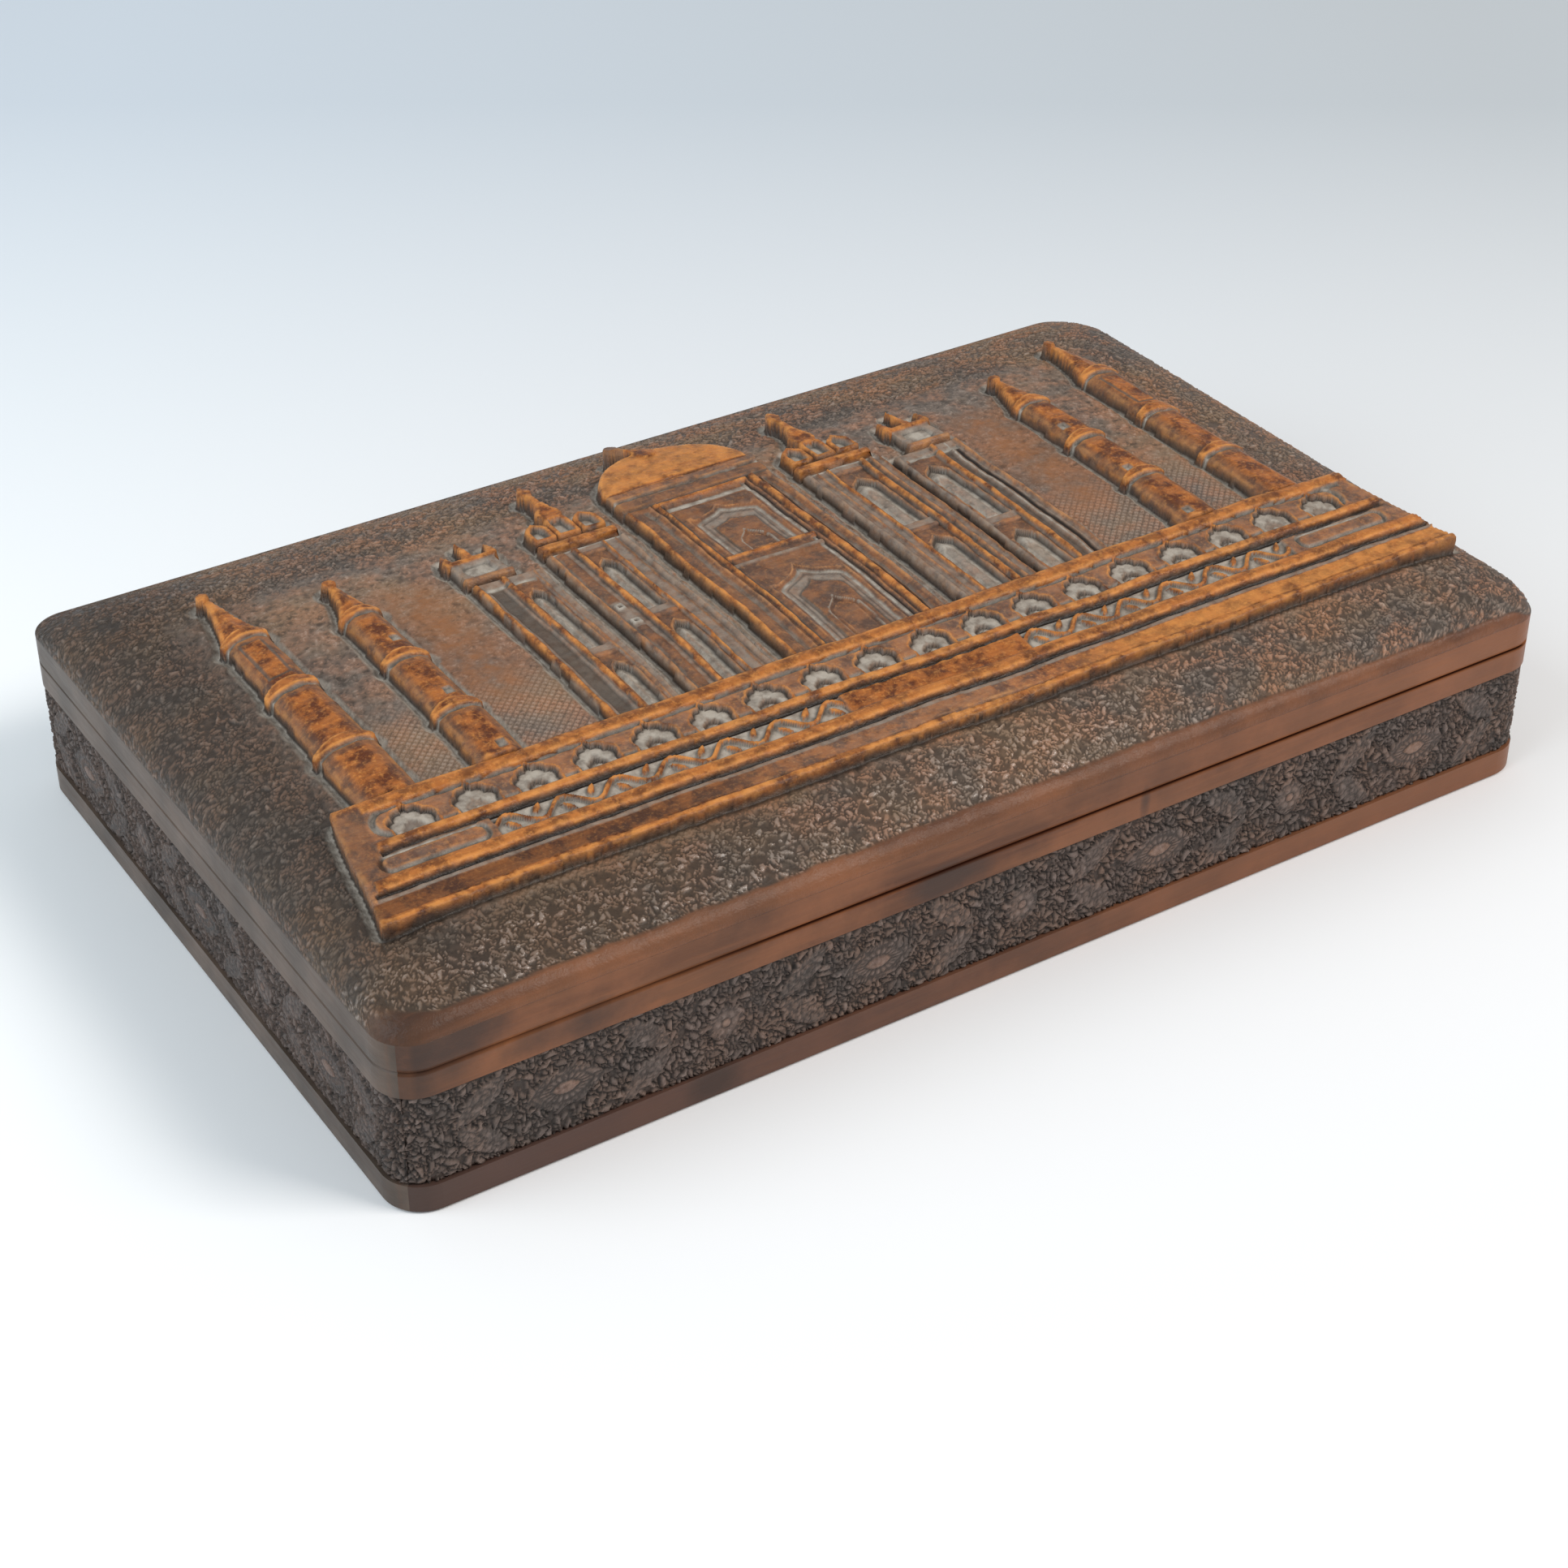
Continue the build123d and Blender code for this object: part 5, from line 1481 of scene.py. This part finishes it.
def plank_nodes(s, tones, along, seam=False):
    """Colour, roughness, height and shine of a planed, waxed plank whose grain runs along one axis."""
    scale = [GRAIN_ALONG if axis == along else GRAIN_ACROSS for axis in "xyz"]
    place = s.place(1, 1, 1)
    long_grain = s.noise(s.place(*scale), 1.0, 5, 0.6)
    fine_grain = s.noise(s.place(*(6 * value for value in scale)), 1.0, 4, 0.6)
    blotch = s.noise(place, 60, 5, 0.6)
    tone = s.mix(s.spread(long_grain, 0.35, 0.62), tones["deep"], tones["mid"])
    tone = s.mix(s.spread(blotch, 0.42, 0.66, 0.0, 0.6), tone, tones["light"])
    tone = s.mix(s.spread(fine_grain, 0.50, 0.75, 0.0, 0.45), tone, tones["light"])
    tone = s.mix(s.spread(s.noise(place, 22, 4), 0.50, 0.68, 0.0, 0.35), tone, tones["smudge"])
    shine = SHINE
    if along == "y":
        # Painted sheen and shade: the end planks' outer faces turn grey
        tone = end_sheen_and_shade(s, tones, tone, place, blotch)
    if seam:
        tone, shine = front_wear(s, tones, tone, place, blotch)
    rough = s.spread(fine_grain, 0.2, 0.8, 0.34, 0.50)
    return tone, rough, s.math("ADD", fine_grain, blotch), shine


def plank(name, tones, along, seam=False):
    """A planed plank of waxed wood."""
    s = Shader(name)
    tone, rough, height, shine = plank_nodes(s, tones, along, seam)
    s.set(base_color=tone, roughness=rough, specular_ior_level=shine, normal=s.bump(height, 0.35))
    return s.material


def felt_cloth(name, tone, deep):
    """Pressed felt: soft, matt and a little uneven."""
    s = Shader(name)
    place = s.place(1, 1, 1)
    uneven = s.mix(s.spread(s.noise(place, 60, 4), 0.3, 0.7), deep, tone)
    normal = s.bump(s.noise(place, 2600, 3), 0.4)
    s.set(base_color=uneven, roughness=0.95, sheen_weight=0.2, normal=normal)
    return s.material


def metal(name, tone, tarnish, rough):
    """Aged metal with darker tarnish in patches and fine scratches."""
    s = Shader(name)
    spots = s.spread(s.noise(s.place(1, 1, 1), 320, 4), 0.42, 0.72, 0.0, 0.8)
    scratches = s.bump(s.noise(s.place(200, 2500, 2500), 1.0, 3), 0.2, 0.0001)
    s.set(base_color=s.mix(spots, tone, tarnish), metallic=0.9,
          roughness=s.spread(spots, 0, 1, rough, rough + 0.25), normal=scratches)
    return s.material


def dress(names, material):
    """Give CAD nodes a material."""
    for name in names:
        slots = frame["nodes"][name].data.materials
        slots.clear()
        slots.append(material)


# The floor, the light and the camera
FLOOR_HALF = 6000.0
AWAY_FROM_CAMERA = (0.541, 0.841)
# A lamp: its place in metres, its size, its power and its tint
LAMPS = {"key": ((1.60, -1.76, 2.48), 1.3, 66.0, (1.0, 0.96, 0.91)),
         "left": ((-1.30, 0.10, 0.90), 1.4, 16.0, (0.80, 0.92, 1.0))}
LAMP_TARGET = (0, 0, 0.03)
SKY_TINT = (0.92, 0.97, 1.0, 1)
SKY_STRENGTH = 0.50


def floor():
    """A wide pale floor, bluer far behind the box."""
    corners = [(x * FLOOR_HALF, y * FLOOR_HALF, 0) for x, y in ((-1, -1), (1, -1), (1, 1), (-1, 1))]
    piece = mesh_piece("floor", np.array(corners), np.array([[0, 1, 2, 3]]))
    s = Shader("pale_floor")
    x, y, _ = s.axes(s.place(1, 1, 1))
    step_x, step_y = AWAY_FROM_CAMERA
    away = s.math("ADD", s.times(x, step_x), s.times(y, step_y))
    left = s.math("ADD", s.times(x, -step_y), s.times(y, step_x))
    far_tone = s.mix(s.spread(left, -0.25, 0.25), "C2C6CA", "CED6DF")
    near_tone = s.mix(s.spread(left, 0.05, 0.30), "F5F3F3", "F8FAFB")
    s.set(base_color=s.mix(s.spread(away, 0.02, 0.42), near_tone, far_tone), roughness=0.9)
    piece.data.materials.append(s.material)


def area_light(name, place, size, power, tint):
    """A soft square lamp aimed at the box."""
    lamp = bpy.data.lights.new(name, "AREA")
    lamp.size = size
    lamp.energy = power
    lamp.color = tint
    thing = bpy.data.objects.new(name, lamp)
    thing.location = place
    aim = np.array(LAMP_TARGET) - np.array(place)
    aim = aim / np.linalg.norm(aim)
    thing.rotation_euler = (math.acos(-aim[2]), 0, math.atan2(aim[1], aim[0]) - math.pi / 2)
    bpy.context.scene.collection.objects.link(thing)


def world():
    """Even soft light, a little blue, with a pale backdrop where nothing stands."""
    made = bpy.data.worlds.new("studio")
    made.use_nodes = True
    nodes, links = made.node_tree.nodes, made.node_tree.links
    nodes.clear()
    light, seen = nodes.new("ShaderNodeBackground"), nodes.new("ShaderNodeBackground")
    light.inputs[0].default_value = SKY_TINT
    light.inputs[1].default_value = SKY_STRENGTH
    seen.inputs[0].default_value = colour("D8E2EC")
    seen.inputs[1].default_value = 1.0
    mix = nodes.new("ShaderNodeMixShader")
    links.new(nodes.new("ShaderNodeLightPath").outputs["Is Camera Ray"], mix.inputs[0])
    links.new(light.outputs[0], mix.inputs[1])
    links.new(seen.outputs[0], mix.inputs[2])
    links.new(mix.outputs[0], nodes.new("ShaderNodeOutputWorld").inputs[0])
    bpy.context.scene.world = made


def camera():
    """The photograph's view."""
    optics = bpy.data.cameras.new("camera")
    optics.sensor_width = SENSOR_WIDTH
    optics.lens = FOCAL_PIXELS * SENSOR_WIDTH / FRAME_PIXELS
    optics.clip_end = 20
    thing = bpy.data.objects.new("camera", optics)
    azimuth, elevation = math.radians(CAMERA_AZIMUTH), math.radians(CAMERA_ELEVATION)
    back = np.array([math.sin(azimuth) * math.cos(elevation), -math.cos(azimuth) * math.cos(elevation),
                     math.sin(elevation)])
    thing.location = (np.array(CAMERA_TARGET) + CAMERA_DISTANCE * back) * MM
    thing.rotation_euler = (math.pi / 2 - elevation, math.radians(CAMERA_ROLL), azimuth)
    bpy.context.scene.collection.objects.link(thing)
    bpy.context.scene.camera = thing


# The tones of the woods
LID_TONES = {"field": "6E6056", "field_warm": "866C56", "stroke": "B4A092", "rust": "A66A44",
             "pit_and_shade": "1C1510", "gold": "AC642C", "gold_deep": "5C2D13", "gold_edge": "E0964E",
             "dust_and_sheen": "AFA497", "patch": "8E5B36", "left_shade": "241F1B", "depth": 0.64}
STRIP_TONES = {"field": "544A45", "field_warm": "60514A", "stroke": "8E7C74", "rust": "785A48",
               "pit_and_shade": "17120F", "gold": "8C6650", "gold_deep": "644638", "gold_edge": "9C7C64",
               "depth": 0.55}
PLANK_TONES = {"light": "8E5A3C", "mid": "724A32", "deep": "573626", "smudge": "3E302A", "dull": "503C36",
               "seam": "2C140C"}
SIDE_TONES = {"light": "8E5A3C", "mid": "724A32", "deep": "573626", "smudge": "3E302A",
              "outer": "5C544C", "outer_deep": "423D37"}
BARE_TONES = {"light": "A98560", "mid": "9A7551", "deep": "7A5739", "smudge": "83634A"}


# The felt's grid
FELT_COLUMNS = 141
FELT_ROWS = 85


def felt_pad():
    """The felt on the floor of the box: a thin soft sheet with rounded edges and a slightly uneven top."""
    low, high = np.array(FELT_LOW) / MM, np.array(FELT_HIGH) / MM
    x, y = np.meshgrid(np.linspace(low[0], high[0], FELT_COLUMNS), np.linspace(low[1], high[1], FELT_ROWS))
    edge = np.minimum(np.minimum(x - low[0], high[0] - x), np.minimum(y - low[1], high[1] - y))
    top = high[2] - 0.05 * (1 + soft_noise(x.shape, 3, SEEDS["felt"])) / 2 - 0.35 * bell(edge, 1.2)
    upper = np.stack([x, y, np.clip(top, low[2] + 0.3, high[2])], -1)
    lower = np.stack([x, y, np.full_like(x, low[2] + 0.02)], -1)
    return mesh_piece("felt_lining", *closed_sheet(upper, lower))


def add_lid(bare_plank):
    """The carved lid, its carving in one wood and its underside in another."""
    lid = carved_lid()
    lid.data.materials.append(carved_wood("carved_lid_wood", LID_TONES, PLANK_TONES, True))
    lid.data.materials.append(bare_plank)
    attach(lid, "lid")
    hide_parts("lid_board")


def add_strips():
    """The carved strips round the base."""
    wood = carved_wood("carved_base_wood", STRIP_TONES, PLANK_TONES, False)
    long_wall = (HALF_LENGTH, HALF_DEPTH, FLOWERS_ALONG_FRONT)
    short_wall = (HALF_DEPTH, HALF_LENGTH, FLOWERS_ALONG_SIDE)
    for index, side in enumerate(("front", "right", "back", "left")):
        half_run, half_out, count = short_wall if index % 2 else long_wall
        turn, seed = index * math.pi / 2, SEEDS["strips"] + 10 * index
        strip = carved_strip(f"{side}_wall_carving", half_run, half_out, turn, count, seed)
        strip.data.materials.append(wood)
        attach(strip, "base")


def add_felt():
    """The felt, laid on the bottom board."""
    felt = felt_pad()
    felt.data.materials.append(felt_cloth("red_felt", "6A161B", "5A1217"))
    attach(felt, "base")
    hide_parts("floor_felt")


def build():
    """Set the scene, carve the box and dress it."""
    camera()
    world()
    for name, lamp in LAMPS.items():
        area_light(name, *lamp)
    floor()
    front_plank = plank("waxed_plank_front", PLANK_TONES, "x", seam=True)
    side_plank = plank("waxed_plank_side", SIDE_TONES, "y")
    bare_plank = plank("bare_plank", BARE_TONES, "x")
    add_lid(bare_plank)
    add_strips()
    dress(("base_front_wall", "base_back_wall", "lid_front_rail", "lid_back_rail"), front_plank)
    dress(("base_left_wall", "base_right_wall", "lid_left_rail", "lid_right_rail"), side_plank)
    dress(("bottom_board",), bare_plank)
    brass = metal("aged_brass", "A88B58", "6A5637", 0.34)
    for side in ("left", "right"):
        dress([f"{side}_hinge_{piece}" for piece in ("base_leaf", "lid_leaf", "pin")], brass)
    dress(("hinge_screws_base", "hinge_screws_lid"), metal("screw_brass", "B39865", "75603F", 0.30))
    dress(("bottom_brads",), metal("dull_steel", "8C8A86", "4E4842", 0.4))
    add_felt()


build()
bpy.context.scene.view_settings.view_transform = "Standard"
